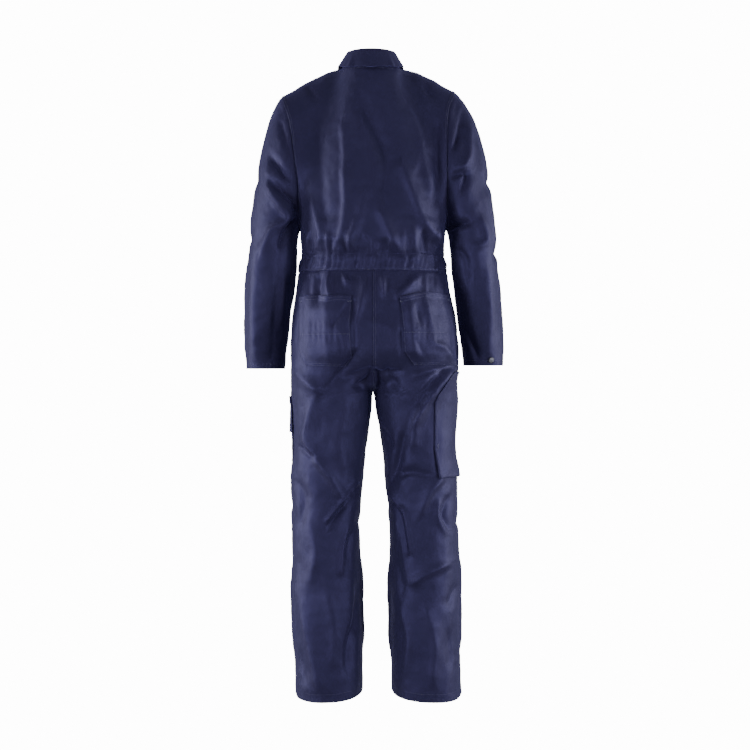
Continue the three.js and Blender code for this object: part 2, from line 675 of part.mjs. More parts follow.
addPiece("back_bodice", clothWall(backBodice));
for (const [i, side] of [-1, 1].entries()) {
  addPiece(`front_bodice_${sideName(side)}`, clothWall(frontBodices[i]));
  addPiece(`back_leg_${sideName(side)}`, clothWall(backLegs[i]));
  addPiece(`front_leg_${sideName(side)}`, clothWall(frontLegs[i]));
  addPiece(`back_sleeve_${sideName(side)}`, clothWall(backSleeves[i]));
  addPiece(`front_sleeve_${sideName(side)}`, clothWall(frontSleeves[i]));
}

// The waist casing is gathered: each column of its panel is split, and its middle rows rise and fall
const GATHER_HEIGHT = 3.2;
const GATHERS = 36;
const GATHER_FADE_COLUMNS = 4;

// Gathers are uneven: their spacing swings by one slow wave and their height by another
function gatherWave(turn) {
  const spacing = 1.3 * Math.sin(turn * 1.7);
  const height = 0.75 + 0.25 * Math.sin(turn * 2.3);
  return height * Math.sin(2 * Math.PI * turn + spacing);
}

function gatheredCasing() {
  const { outer, inner } = skinsOf(casing, -CLOTH, CLOTH);
  const columnCount = BACK_COLUMNS * CASING_SPLITS;
  const split = (row, c) => {
    const left = Math.min(BACK_COLUMNS - 1, Math.floor(c / CASING_SPLITS));
    return row[left].clone().lerp(row[left + 1], c / CASING_SPLITS - left);
  };
  const directions = casing.rows.map((row) => row.map((place) => place.outward));
  const fine = [[], []];
  for (let r = 0; r <= CASING_ROWS; r++) {
    const rows = [[], []];
    for (let c = 0; c <= columnCount; c++) {
      const wave = gatherWave((c / columnCount) * GATHERS);
      const middle = r === 0 || r === CASING_ROWS ? 0 : 1;
      const fromSide = ease(0, GATHER_FADE_COLUMNS, c) * ease(0, GATHER_FADE_COLUMNS, columnCount - c);
      const rise = split(directions[r], c).multiplyScalar(GATHER_HEIGHT * wave * middle * fromSide);
      rows[0].push(split(outer[r], c).add(rise));
      rows[1].push(split(inner[r], c).add(rise));
    }
    fine[0].push(rows[0]);
    fine[1].push(rows[1]);
  }
  pullEdges(fine[0], fine[1], (r, c) => split(directions[r], c));
  return wallGeometry(fine[0], fine[1], casing.facing);
}
addPiece("back_waist_casing", gatheredCasing());

// The collar: a stand from the neck seam to the fold, and a fall from the fold to the free edge
const COLLAR = [
  { round: 0, standIn: 9, standUp: 28, fallOut: 25, fallDown: 48 },
  { round: 0.5, standIn: 12, standUp: 30, fallOut: 30, fallDown: 43 },
  { round: 1, standIn: 20, standUp: 38, fallOut: 30, fallDown: 36 },
  { round: 1.5, standIn: 8, standUp: 28, fallOut: 50, fallDown: 38 },
  { round: 1.96, standIn: 6, standUp: 20, fallOut: 56, fallDown: 50 },
];
const COLLAR_WALL = 2;
const COLLAR_COLUMNS = 28;
const COLLAR_END = 1.94;
const COLLAR_UNDERLAP = 2.2;
const COLLAR_FOLD = { drop: 4, halfWidth: 4, width: 9 };

// round is 0 at the centre back, 1 at the shoulder and 2 at the centre front
function neckAt(side, round) {
  return round <= 1 ? neckPoint(side, -1, 1 - round) : neckPoint(side, 1, round - 1);
}

function collarPanel() {
  const profile = ["foot", "stand", "foldIn", "fold", "foldOut", "fall", "edge"];
  return makePanel("collar", profile.length - 1, COLLAR_COLUMNS, 1, (r, c) => {
    const turn = (c / COLLAR_COLUMNS) * 2 - 1;
    const side = turn < 0 ? -1 : 1;
    const round = Math.abs(turn) * COLLAR_END;
    const get = (column) => along(COLLAR, "round", column, round);
    const foot = neckAt(side, round);
    const centre = new THREE.Vector3(NECK_X, SHOULDER_Y, foot.z);
    const out = foot.clone().sub(centre).setZ(0).normalize();
    const up = new THREE.Vector3(0, 0, 1);
    const place = (outward, upward) => {
      return foot.clone().addScaledVector(out, outward).addScaledVector(up, upward);
    };
    const { drop, halfWidth, width } = COLLAR_FOLD;
    const inTop = -get("standIn");
    const top = get("standUp");
    const step = profile[r];
    if (step === "foot") return place(-COLLAR_UNDERLAP, 1);
    if (step === "stand") return place(inTop * 0.6, top * 0.5);
    if (step === "foldIn") return place(inTop, top - drop);
    if (step === "fold") return place(inTop + halfWidth, top);
    if (step === "foldOut") return place(inTop + width, top - drop);
    const slope = step === "fall" ? 0.5 : 1;
    const outward = inTop + width + (get("fallOut") - width) * slope;
    return place(outward, top - drop - (get("fallDown") - drop) * slope);
  });
}
const collar = collarPanel();
setOutward([collar]);
addPiece("collar", clothWall(collar, COLLAR_WALL));

// Pieces laid on the panels are made from the panels' own places, moved out, and cut to their outline
const wasm = await Module();
wasm.setup();

function toSolid(geometry) {
  const bare = geometry.clone();
  bare.deleteAttribute("normal");
  bare.deleteAttribute("uv");
  const merged = mergeVertices(bare, 1e-4);
  const mesh = new wasm.Mesh({
    numProp: 3,
    vertProperties: new Float32Array(merged.attributes.position.array),
    triVerts: new Uint32Array(merged.index.array),
  });
  return new wasm.Manifold(mesh);
}

function fromSolid(solid) {
  const mesh = solid.getMesh();
  const geometry = new THREE.BufferGeometry();
  geometry.setAttribute("position", new THREE.Float32BufferAttribute(mesh.vertProperties, 3));
  geometry.setIndex([...mesh.triVerts]);
  return geometry;
}

// A prism of an outline of across and z, through the suit from back to front or from side to side
function prism(outline, view) {
  const reach = 400;
  const shape = new THREE.Shape(outline.map(([across, z]) => new THREE.Vector2(across, z)));
  const geometry = new THREE.ExtrudeGeometry(shape, { depth: 2 * reach, bevelEnabled: false });
  geometry.rotateX(Math.PI / 2);
  geometry.translate(0, reach, 0);
  if (view === "side") geometry.rotateZ(Math.PI / 2);
  return toSolid(geometry);
}

// rows are places of a panel, liftAt gives how far the piece stands off it there
function laidOn(rows, facing, outline, view, thickness, liftAt) {
  const raised = (extra) => ({ point, outward }) => {
    return point.clone().addScaledVector(outward, liftAt(point) + extra);
  };
  const skin = (extra) => rows.map((row) => row.map(raised(extra)));
  const wall = wallGeometry(skin(thickness), skin(0), facing);
  return fromSolid(toSolid(wall).intersect(prism(outline, view)));
}

// Back pockets: outlines as across and height, with cut-off lower corners
const BACK_POCKETS = {
  left: [[-174, -565], [-50, -565], [-54, -640], [-50, -708], [-64, -731], [-157, -731], [-174, -694]],
  right: [
    [62, -567], [122, -557], [180, -559], [194, -640],
    [198, -728], [97, -728], [74, -696], [72, -640],
  ],
};

// The pouch of a back pocket stands off most in its middle and dies away at its sewn edges
const POUCH = { rise: 5, bottom: -735, full: -600, top: -540, under: -580, sideY: -31, backY: -94 };
function pouchLift({ x, y, z }) {
  const upward = ease(POUCH.bottom, POUCH.full, z) * ease(POUCH.top, POUCH.under, z);
  const across = ease(POUCH.sideY, POUCH.backY, y) * ease(30, 70, Math.abs(x));
  return LIFT + POUCH.rise * upward * across;
}
for (const [i, side] of [-1, 1].entries()) {
  const rows = backLegs[i].rows.slice(1, 11);
  const outline = BACK_POCKETS[sideName(side)];
  addPiece(`back_pocket_${sideName(side)}`, laidOn(rows, side, outline, "back", CLOTH, pouchLift));
}

// Thigh pockets run round the side seam, so their rows join the back leg's columns to the front leg's
function roundTheSide(i, firstRow, lastRow, backColumns, frontColumns) {
  const rows = [];
  for (let r = firstRow; r <= lastRow; r++) {
    const back = backLegs[i].rows[r].slice(0, backColumns + 1).reverse();
    rows.push([...back, ...frontLegs[i].rows[r].slice(1, frontColumns + 1)]);
  }
  return rows;
}
const sideOutline = (top, bottom) => [[-200, top], [200, top], [200, bottom], [-200, bottom]];

// The right thigh pocket is long and narrow with a slanted back corner. Its lower part hangs free.
const RULE_POCKET = { bottom: -998, free: -926, standOff: 6.5 };
const rulePocketRows = roundTheSide(1, 7, 19, 4, 1);
const rulePocketOutline = [
  [-200, -822], [-98, -820], [-92, -800], [-80, -772],
  [-58, -744], [200, -744], [200, RULE_POCKET.bottom], [-200, RULE_POCKET.bottom],
];
const rulePocketLift = ({ z }) =>
  LIFT + RULE_POCKET.standOff * ease(RULE_POCKET.free + 60, RULE_POCKET.bottom, z);
addPiece(
  "thigh_pocket_right",
  laidOn(rulePocketRows, -1, rulePocketOutline, "side", CLOTH, rulePocketLift),
);

// The left thigh pocket lies forward of the side seam under a flap
const FLAP_POCKET = { top: -812, flapTop: -804, flapBottom: -891, bottom: -961, pouch: 4, flapRise: 1.6 };
function flapPocketLift({ y, z }) {
  const upward = ease(FLAP_POCKET.bottom + 4, FLAP_POCKET.bottom + 60, z);
  return LIFT + FLAP_POCKET.pouch * upward * ease(-36, 0, y) * ease(100, 70, y);
}
const flapLift = (point) =>
  LIFT + CLOTH + flapPocketLift(point) +
  FLAP_POCKET.flapRise * ease(FLAP_POCKET.top, FLAP_POCKET.flapBottom, point.z);
const flapPocketOutline = sideOutline(FLAP_POCKET.top, FLAP_POCKET.bottom);
const flapOutline = sideOutline(FLAP_POCKET.flapTop, FLAP_POCKET.flapBottom);
addPiece(
  "thigh_pocket_left",
  laidOn(roundTheSide(0, 11, 18, 1, 4), 1, flapPocketOutline, "side", CLOTH, flapPocketLift),
);
addPiece(
  "thigh_flap_left",
  laidOn(roundTheSide(0, 11, 16, 1, 4), 1, flapOutline, "side", DOUBLE_CLOTH, flapLift),
);

// The front placket covers the centre front from the neck to the fly's foot
const PLACKET = { halfWidth: 24, foot: -700, columns: 2 };
function centreFrontRow(leftRow, rightRow) {
  const last = FRONT_COLUMNS;
  const right = rightRow.slice(last - PLACKET.columns, last).reverse();
  return [...leftRow.slice(last - PLACKET.columns, last + 1), ...right];
}
const joinFronts = ([left, right], first, last) => {
  return left.rows.slice(first, last).map((row, r) => centreFrontRow(row, right.rows[first + r]));
};
const bodiceRows = joinFronts(frontBodices, 0, frontBodices[0].rows.length).reverse();
const placketRows = [...bodiceRows, ...joinFronts(frontLegs, 1, 9)];
const placketOutline = [
  [-PLACKET.halfWidth, 0],
  [PLACKET.halfWidth, 0],
  [PLACKET.halfWidth, PLACKET.foot],
  [-PLACKET.halfWidth, PLACKET.foot],
];
addPiece("front_placket", laidOn(placketRows, 1, placketOutline, "back", DOUBLE_CLOTH, () => LIFT));

// Press studs: a low domed cap, seated just off the cloth
const STUD = { radius: 7.5, height: 2.4, sides: 14 };
function studGeometry(point, outward) {
  const { radius, height } = STUD;
  const profile = [
    new THREE.Vector2(0, 0),
    new THREE.Vector2(radius * 0.96, 0),
    new THREE.Vector2(radius, height * 0.35),
    new THREE.Vector2(radius * 0.8, height * 0.8),
    new THREE.Vector2(0, height),
  ];
  const geometry = new THREE.LatheGeometry(profile, STUD.sides);
  const turn = new THREE.Quaternion().setFromUnitVectors(new THREE.Vector3(0, 1, 0), outward);
  geometry.applyQuaternion(turn);
  geometry.translate(point.x, point.y, point.z);
  return fromSolid(toSolid(geometry));
}

// A place on a column of places at one height
function placeAt(column, z) {
  const below = column.findIndex((place) => place.point.z <= z);
  const [a, b] = [column[below - 1], column[below]];
  const f = (z - a.point.z) / (b.point.z - a.point.z);
  const outward = a.outward.clone().lerp(b.outward, f).normalize();
  return { point: a.point.clone().lerp(b.point, f), outward };
}

const STUD_TOP_Z = -112;
const STUD_PITCH = 84;
const STUD_COUNT = 7;
const centreColumn = placketRows.map((row) => row[PLACKET.columns]);
for (let n = 0; n < STUD_COUNT; n++) {
  const { point, outward } = placeAt(centreColumn, STUD_TOP_Z - n * STUD_PITCH);
  const seat = point.clone().addScaledVector(outward, 2 * LIFT + DOUBLE_CLOTH);
  addPiece(`placket_stud_${n + 1}`, studGeometry(seat, outward), STEEL);
}

// One stud on each cuff: on the back of the right one and the front of the left one
const CUFF_STUD_Z = -716;
const CUFF_STUD_COLUMN = 6;
const CUFF_STUD_RISE = 0.6;
for (const [side, sleeve] of [[-1, frontSleeves[0]], [1, backSleeves[1]]]) {
  const column = sleeve.rows.slice(SLEEVE_CAP_ROWS).map((row) => row[CUFF_STUD_COLUMN]);
  const { point, outward } = placeAt(column, CUFF_STUD_Z);
  const seat = point.addScaledVector(outward, CUFF_STUD_RISE);
  addPiece(`cuff_stud_${sideName(side)}`, studGeometry(seat, outward), STEEL);
}

export default suit;
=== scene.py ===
"""A navy drill boiler suit in its worn shape, empty, seen from behind."""
import math
import random

import bmesh
import bpy
import numpy as np
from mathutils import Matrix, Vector, noise
from mathutils.bvhtree import BVHTree


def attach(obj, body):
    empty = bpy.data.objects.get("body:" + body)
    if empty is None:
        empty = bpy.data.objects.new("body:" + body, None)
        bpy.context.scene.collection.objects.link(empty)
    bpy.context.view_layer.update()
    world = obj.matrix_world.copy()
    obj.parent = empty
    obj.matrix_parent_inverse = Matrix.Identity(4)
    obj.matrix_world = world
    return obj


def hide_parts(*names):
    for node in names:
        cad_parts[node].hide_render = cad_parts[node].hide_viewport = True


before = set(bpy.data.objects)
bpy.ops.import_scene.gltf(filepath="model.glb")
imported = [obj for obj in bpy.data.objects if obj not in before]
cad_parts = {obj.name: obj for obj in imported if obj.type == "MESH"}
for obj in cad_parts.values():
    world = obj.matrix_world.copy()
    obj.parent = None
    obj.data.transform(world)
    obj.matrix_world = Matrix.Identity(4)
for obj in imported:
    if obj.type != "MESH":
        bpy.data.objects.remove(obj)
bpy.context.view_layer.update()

# The tables below are in millimetres, as a maker measures, and MM turns them to metres.
MM = 0.001

# Heights of the main lines
ARMPIT_Z = -393
CASING_TOP_Z = -464
WAIST_SEAM_Z = -504
SEAT_Z = -683
CROTCH_Z = -795
SLEEVE_FREE_Z = -440

# Shares of the top edge of each half of the bodice that lie on the shoulder
BACK_SHOULDER_SHARE = 6 / 11
FRONT_SHOULDER_SHARE = 6 / 10

# Cloth
DRILL = 1.2
COLLAR_DRILL = 1.9
SEAM_WIDTH = 8
SEAM_HEIGHT = 0.9
CELL = 5

# The eye that the folds were drawn from
EYE_DISTANCE = 4000
EYE_Z = -752

BODY = [
    dict(z=-393, left=177, right=178, back=146, front=142, power=0.74),
    dict(z=-422, left=176, right=175, back=147, front=142, power=0.76),
    dict(z=-445, left=173, right=174, back=140, front=138, power=0.8),
    dict(z=-464, left=173, right=174, back=131, front=133, power=0.83),
    dict(z=-484, left=178, right=178, back=127, front=129, power=0.84),
    dict(z=-504, left=182, right=181, back=128, front=128, power=0.84),
    dict(z=-539, left=186, right=185, back=139, front=131, power=0.82),
    dict(z=-598, left=193, right=195, back=151, front=134, power=0.8),
    dict(z=-656, left=198, right=203, back=157, front=134, power=0.8),
    dict(z=-686, left=200, right=205, back=157, front=133, power=0.8),
    dict(z=-795, left=200, right=205, back=146, front=126, power=0.8),
]

LEG = [
    dict(z=-683, left_out=200, left_in=0, right_out=205, right_in=0, back=150, front=126),
    dict(z=-795, left_out=200, left_in=0, right_out=205, right_in=0, back=128, front=113),
    dict(z=-803, left_out=200, left_in=1.5, right_out=205, right_in=2, back=126, front=111),
    dict(z=-832, left_out=196, left_in=3, right_out=203, right_in=6, back=120, front=106),
    dict(z=-891, left_out=194, left_in=10, right_out=201, right_in=16, back=111, front=99),
    dict(z=-949, left_out=195, left_in=19, right_out=201, right_in=25, back=104, front=95),
    dict(z=-1008, left_out=200, left_in=24, right_out=205, right_in=30, back=99, front=93),
    dict(z=-1066, left_out=199, left_in=28, right_out=206, right_in=35, back=95, front=92),
    dict(z=-1125, left_out=198, left_in=32, right_out=207, right_in=40, back=93, front=90),
    dict(z=-1213, left_out=195, left_in=32, right_out=209, right_in=41, back=92, front=87),
    dict(z=-1388, left_out=191, left_in=27, right_out=211, right_in=44, back=89, front=85),
    dict(z=-1535, left_out=188, left_in=25, right_out=216, right_in=46, back=86, front=84),
]
LEG_POWER = 0.9

SLEEVE = [
    dict(z=-440, left_out=302, left_in=184, right_out=300, right_in=185, depth=86, forward=-3),
    dict(z=-481, left_out=305, left_in=184, right_out=303, right_in=189, depth=82, forward=-4),
    dict(z=-539, left_out=307, left_in=189, right_out=307, right_in=196, depth=75, forward=0),
    dict(z=-598, left_out=310, left_in=200, right_out=311, right_in=204, depth=69, forward=6),
    dict(z=-656, left_out=311, left_in=206, right_out=315, right_in=211, depth=63, forward=13),
    dict(z=-715, left_out=310, left_in=212, right_out=318, right_in=220, depth=57, forward=20),
    dict(z=-738, left_out=309, left_in=214, right_out=317, right_in=222, depth=55, forward=22),
]
SLEEVE_POWER = 0.92
CUFF_Z = {"left": -737, "right": -729}

ARMHOLE = {
    "left": [
        dict(z=-74, x=222), dict(z=-84, x=220), dict(z=-146, x=200),
        dict(z=-249, x=185), dict(z=-312, x=178), dict(z=-393, x=177),
    ],
    "right": [
        dict(z=-63, x=200), dict(z=-78, x=196), dict(z=-112, x=183),
        dict(z=-156, x=178), dict(z=-224, x=177), dict(z=-393, x=178),
    ],
}
ARMHOLE_HALF_DEPTH = 84
CAP_FULLNESS = {"left": 0.42, "right": 0.6}

SHOULDER = {
    "left": [
        dict(x=222, z=-74), dict(x=183, z=-50), dict(x=144, z=-29), dict(x=107, z=-12), dict(x=75.5, z=-3),
    ],
    "right": [
        dict(x=200, z=-63), dict(x=178, z=-49), dict(x=139, z=-27.5), dict(x=99, z=-10.5), dict(x=66.5, z=-3),
    ],
}
SHOULDER_Y = 4

NECK_X = -4.5
NECK_HALF_WIDTH = 71
NECK_BACK_DEPTH = 72
NECK_FRONT_DEPTH = 70
NECK_SIDE_Z = -3
NECK_BACK_Z = 5
NECK_FRONT_DROP = 80

HEM_SIDE_Z = -1525
HEM_BACK_DROP = 14
HEM_FRONT_RISE = 6
HEM_IN_RISE = 7
HEM_SKEW = 0.85

# Every fold, one by one: on, view, path of across and height, width, depth, and lean.
# lean moves the steep side of a crease to the right of its path, or to the left where it is below 0.
FOLDS = [
    # Back bodice
    ("body", "back", [[-76, -140], [-70, -220], [-70, -300]], 14, 4, 0.95),
    ("body", "back", [[-72, -250], [-70, -340], [-78, -400], [-94, -448]], 13, 5.5, 0.95),
    ("body", "back", [[-44, -372], [-54, -416], [-46, -450]], 7, 5, 0.3),
    ("body", "back", [[-138, -122], [-130, -260], [-118, -385]], 18, -5, 0),
    ("body", "back", [[-29, -84], [10, -160], [32, -225], [26, -310]], 21, -10, 0.4),
    ("body", "back", [[71, -237], [88, -290], [122, -373], [164, -428]], 15, 9, 0.6),
    ("body", "back", [[15, -346], [46, -417], [68, -452]], 14, 8, 0.4),
    ("body", "back", [[156, -140], [160, -250], [156, -330]], 11, -7, 0),
    ("body", "back", [[-20, -300], [-34, -380], [-60, -440]], 13, 5, -0.4),
    ("body", "back", [[-150, -330], [-130, -400], [-136, -446]], 11, 6, 0.4),
    ("body", "back", [[118, -180], [128, -250], [150, -310]], 14, 5, 0.3),
    ("body", "back", [[84, -100], [110, -170], [104, -240]], 18, 5, -0.6),
    ("body", "back", [[-161, -48], [-142, -74]], 7, -4, 0),
    ("body", "back", [[127, -46], [146, -74]], 7, -4, 0),
    ("body", "back", [[100, -395], [104, -452]], 8, 5, 0),
    # Seat
    ("body", "back", [[112, -512], [84, -536], [61, -560]], 12, 7, 0.5),
    ("body", "back", [[-107, -508], [-109, -532], [-105, -562]], 8, 7, -0.5),
    ("body", "back", [[-132, -508], [-136, -540], [-132, -570]], 13, -9, 0),
    ("body", "back", [[-160, -508], [-158, -556]], 8, -4, 0),
    ("body", "back", [[-72, -508], [-60, -528]], 7, 4, 0),
    ("body", "back", [[-46, -700], [-84, -752], [-128, -802]], 13, -9, 0.7),
    ("body", "back", [[4, -738], [12, -760], [16, -786]], 6, -8, 0.4),
    ("body", "back", [[-4, -740], [-14, -764], [-40, -782]], 6, -8, -0.4),
    ("body", "back", [[8, -752], [36, -748], [68, -742]], 5.5, -6, 0.3),
    ("body", "back", [[-8, -738], [-36, -748], [-70, -764]], 6, -5, 0),
    ("body", "back", [[30, -728], [44, -764], [74, -800]], 8, -5, 0.5),
    ("body", "back", [[102, -756], [146, -742], [192, -733]], 8, -6, 0.5),
    ("body", "back", [[190, -742], [146, -794], [120, -834], [98, -874]], 9, 8, 0.5),
    ("body", "back", [[176, -738], [140, -776], [108, -824]], 7, -6, 0),
    ("body", "back", [[-190, -740], [-160, -772], [-120, -800]], 13, 5, 0),
    ("body", "back", [[-22, -512], [-25, -566], [-46, -630]], 9, 6, -0.4),
    ("body", "back", [[-45, -570], [-46, -640], [-44, -700]], 5, -3.5, 0),
    ("body", "back", [[52, -540], [60, -580], [66, -640]], 5, 3.5, 0),
    ("body", "back", [[58, -568], [67, -640], [69, -700]], 5, -4, 0),
    ("body", "back", [[0, -620], [44, -640], [66, -690]], 14, 3.5, 0),
    ("body", "back", [[20, -508], [28, -560]], 8, 4, 0),
    # Left leg
    ("body", "back", [[-149, -825], [-159, -866], [-166, -908], [-149, -949]], 13, 7, 0.4),
    ("body", "back", [[-176, -928], [-144, -956]], 7, -6, 0),
    ("body", "back", [[-142, -956], [-104, -1004], [-76, -1059]], 12, 8, 0.5),
    ("body", "back", [[-38, -1014], [-76, -1062], [-112, -1108]], 5, 7, 0),
    ("body", "back", [[-36, -1028], [-74, -1074], [-106, -1120]], 8, -9, 0.6),
    ("body", "back", [[-60, -820], [-82, -900], [-76, -980]], 18, 5, 0),
    ("body", "back", [[-186, -1010], [-170, -1062], [-182, -1120]], 12, -6, 0.4),
    ("body", "back", [[-60, -1124], [-74, -1176], [-80, -1236]], 7, 5, 0.4),
    ("body", "back", [[-52, -1136], [-64, -1190]], 8, -4, 0),
    ("body", "back", [[-150, -1120], [-140, -1190], [-158, -1262]], 14, 5, 0),
    ("body", "back", [[-186, -1264], [-159, -1393], [-134, -1513]], 17, 7, 0.5),
    ("body", "back", [[-33, -1266], [-39, -1347], [-59, -1408], [-63, -1470]], 12, -7, 0.5),
    ("body", "back", [[-110, -1290], [-92, -1380], [-100, -1460]], 14, 4, 0),
    ("body", "back", [[-176, -1430], [-166, -1500]], 9, -4, 0),
    # Right leg
    ("body", "back", [[22, -883], [46, -927]], 8, -5, 0),
    ("body", "back", [[71, -900], [63, -944], [44, -1010]], 11, -8, 0.6),
    ("body", "back", [[38, -1035], [62, -1072], [78, -1092], [94, -1186]], 5.5, 8, 0.5),
    ("body", "back", [[50, -1066], [66, -1104], [82, -1190]], 9, -6, 0),
    ("body", "back", [[115, -832], [104, -880], [98, -927]], 12, 6, 0.3),
    ("body", "back", [[66, -996], [98, -990], [134, -998]], 9, -6, 0.3),
    ("body", "back", [[184, -1052], [170, -1093], [184, -1126]], 8, -6, 0.5),
    ("body", "back", [[160, -1060], [158, -1096], [176, -1136]], 7, 5, 0),
    ("body", "back", [[170, -1004], [140, -1040], [118, -1092]], 11, 6, -0.5),
    ("body", "back", [[60, -1150], [58, -1210], [74, -1280]], 12, -5, 0),
    ("body", "back", [[100, -1260], [140, -1234], [186, -1213]], 11, 7, 0.5),
    ("body", "back", [[207, -1266], [196, -1290], [188, -1312]], 8, -6, 0),
    ("body", "back", [[70, -1330], [88, -1400], [80, -1480]], 13, 5, 0.3),
    ("body", "back", [[128, -1320], [150, -1400], [146, -1500]], 14, 6, 0.4),
    ("body", "back", [[186, -1380], [190, -1460]], 10, -4, 0),
    # Front bodice
    ("body", "front", [[-96, -130], [-98, -260], [-70, -440]], 18, 8, 0.5),
    ("body", "front", [[100, -150], [90, -300], [112, -450]], 18, 8, -0.5),
    ("body", "front", [[-142, -170], [-134, -260], [-128, -340]], 15, -7, 0),
    ("body", "front", [[140, -160], [146, -240], [134, -330]], 15, -7, 0),
    ("body", "front", [[-50, -360], [-62, -430], [-56, -490]], 12, 5, 0.3),
    ("body", "front", [[62, -380], [50, -440], [60, -492]], 12, 5, -0.3),
    ("body", "front", [[-150, -400], [-120, -440], [-118, -490]], 12, 6, 0.3),
    ("body", "front", [[152, -390], [136, -440], [140, -490]], 12, 6, 0.3),
    # Front of the trousers
    ("body", "front", [[70, -640], [110, -690], [150, -720]], 13, -7, 0.5),
    ("body", "front", [[-62, -650], [-100, -690], [-146, -712]], 13, -7, 0.5),
    ("body", "front", [[20, -720], [70, -770]], 11, -6, 0.4),
    ("body", "front", [[-22, -714], [-76, -760]], 11, -6, 0.4),
    ("body", "front", [[110, -520], [100, -580], [120, -640]], 14, 5, 0),
    ("body", "front", [[-104, -516], [-116, -570], [-104, -630]], 14, 5, 0),
    ("body", "front", [[-60, -1010], [-96, -1040], [-140, -1074]], 13, 8, 0.5),
    ("body", "front", [[84, -1096], [124, -1064], [164, -1040]], 13, 8, 0.5),
    ("body", "front", [[-170, -980], [-128, -1004], [-92, -1002]], 10, -6, 0.4),
    ("body", "front", [[100, -1004], [140, -986], [180, -990]], 10, -6, 0.4),
    ("body", "front", [[-52, -1120], [-88, -1168], [-96, -1230]], 13, 6, 0.3),
    ("body", "front", [[70, -1160], [92, -1220], [88, -1300]], 14, 6, 0.3),
    ("body", "front", [[-160, -1370], [-120, -1410], [-72, -1440]], 13, 7, 0.5),
    ("body", "front", [[90, -1444], [130, -1418], [176, -1395]], 13, 7, 0.5),
    ("body", "front", [[-120, -840], [-110, -920], [-122, -980]], 17, 5, 0),
    ("body", "front", [[110, -840], [126, -900], [116, -970]], 17, 5, 0),
    # Sides of the legs
    ("body", "left", [[-46, -1094], [10, -1066], [56, -1060]], 12, -3, 0.5),
    ("body", "left", [[-20, -1220], [6, -1320], [-6, -1420]], 16, 6, 0.3),
    ("body", "left", [[-20, -560], [-6, -640], [-20, -740]], 16, 0.6, 0),
    ("body", "right", [[-40, -1100], [0, -1112], [46, -1134]], 12, -3, 0.5),
    ("body", "right", [[-14, -1200], [10, -1300], [4, -1400]], 16, 6, 0.3),
    ("body", "right", [[10, -560], [24, -640], [6, -740]], 16, 5, 0),
    # Left sleeve
    ("left", "back", [[-229, -93], [-214, -118], [-204, -142]], 7, -5, 0),
    ("left", "back", [[-226, -134], [-216, -168], [-208, -200]], 8, -5, 0.3),
    ("left", "back", [[-250, -222], [-230, -250], [-212, -272]], 8, -9, 0.6),
    ("left", "back", [[-252, -280], [-222, -306], [-184, -334]], 8, -10, 0.6),
    ("left", "back", [[-196, -346], [-178, -352]], 6, -4, 0),
    ("left", "back", [[-256, -248], [-249, -306], [-213, -367], [-248, -398], [-270, -449]], 13, 9, 0.6),
    ("left", "back", [[-190, -372], [-212, -398], [-226, -440]], 8, -9, 0.4),
    ("left", "back", [[-284, -452], [-291, -600], [-286, -712]], 14, 5, 0),
    ("left", "back", [[-230, -470], [-238, -600], [-246, -712]], 14, -3, 0.4),
    ("left", "back", [[-216, -520], [-222, -620]], 9, 4, 0),
    # Right sleeve
    ("right", "back", [[204, -80], [202, -104], [199, -126]], 7, -4, 0),
    ("right", "back", [[218, -106], [214, -136], [207, -168]], 8, -6, 0.4),
    ("right", "back", [[208, -166], [200, -186], [190, -204]], 6, -8, 0.6),
    ("right", "back", [[234, -146], [232, -217], [217, -250]], 9, 8, 0.4),
    ("right", "back", [[254, -188], [262, -230], [267, -262]], 9, 5, 0),
    ("right", "back", [[188, -268], [224, -261], [217, -302]], 7, -9, 0.5),
    ("right", "back", [[186, -394], [206, -388], [234, -382]], 8, -10, 0.6),
    ("right", "back", [[276, -312], [290, -390], [298, -437]], 11, 6, 0),
    ("right", "back", [[264, -372], [276, -420], [254, -440]], 9, 7, 0.5),
    ("right", "back", [[200, -440], [224, -470], [228, -520]], 10, -5, 0.3),
    ("right", "back", [[224, -642], [240, -680], [258, -717]], 9, -5, 0.5),
    ("right", "back", [[280, -500], [286, -600], [282, -700]], 13, 5, 0),
    # Hidden sides of the sleeves
    ("left", "left", [[-44, -414], [0, -440], [40, -474]], 12, -8, 0.6),
    ("left", "left", [[-36, -300], [0, -276], [40, -262]], 12, -3, 0.4),
    ("left", "left", [[-10, -500], [14, -600], [24, -700]], 14, 5, 0),
    ("right", "right", [[-34, -286], [0, -290], [42, -304]], 11, -8, 0.5),
    ("right", "right", [[-40, -474], [6, -450], [48, -432]], 12, -8, 0.6),
    ("right", "right", [[0, -520], [20, -620], [26, -700]], 14, 5, 0),
    ("left", "front", [[-292, -430], [-256, -452], [-214, -488]], 12, -8, 0.6),
    ("left", "front", [[-230, -240], [-210, -300], [-200, -350]], 13, 6, 0.4),
    ("left", "front", [[-288, -560], [-258, -588], [-226, -610]], 11, 6, 0.4),
    ("right", "front", [[292, -450], [252, -438], [212, -418]], 12, -8, 0.6),
    ("right", "front", [[222, -220], [212, -290], [196, -350]], 13, 6, 0.4),
    ("right", "front", [[290, -594], [262, -580], [232, -560]], 11, 6, 0.4),
]


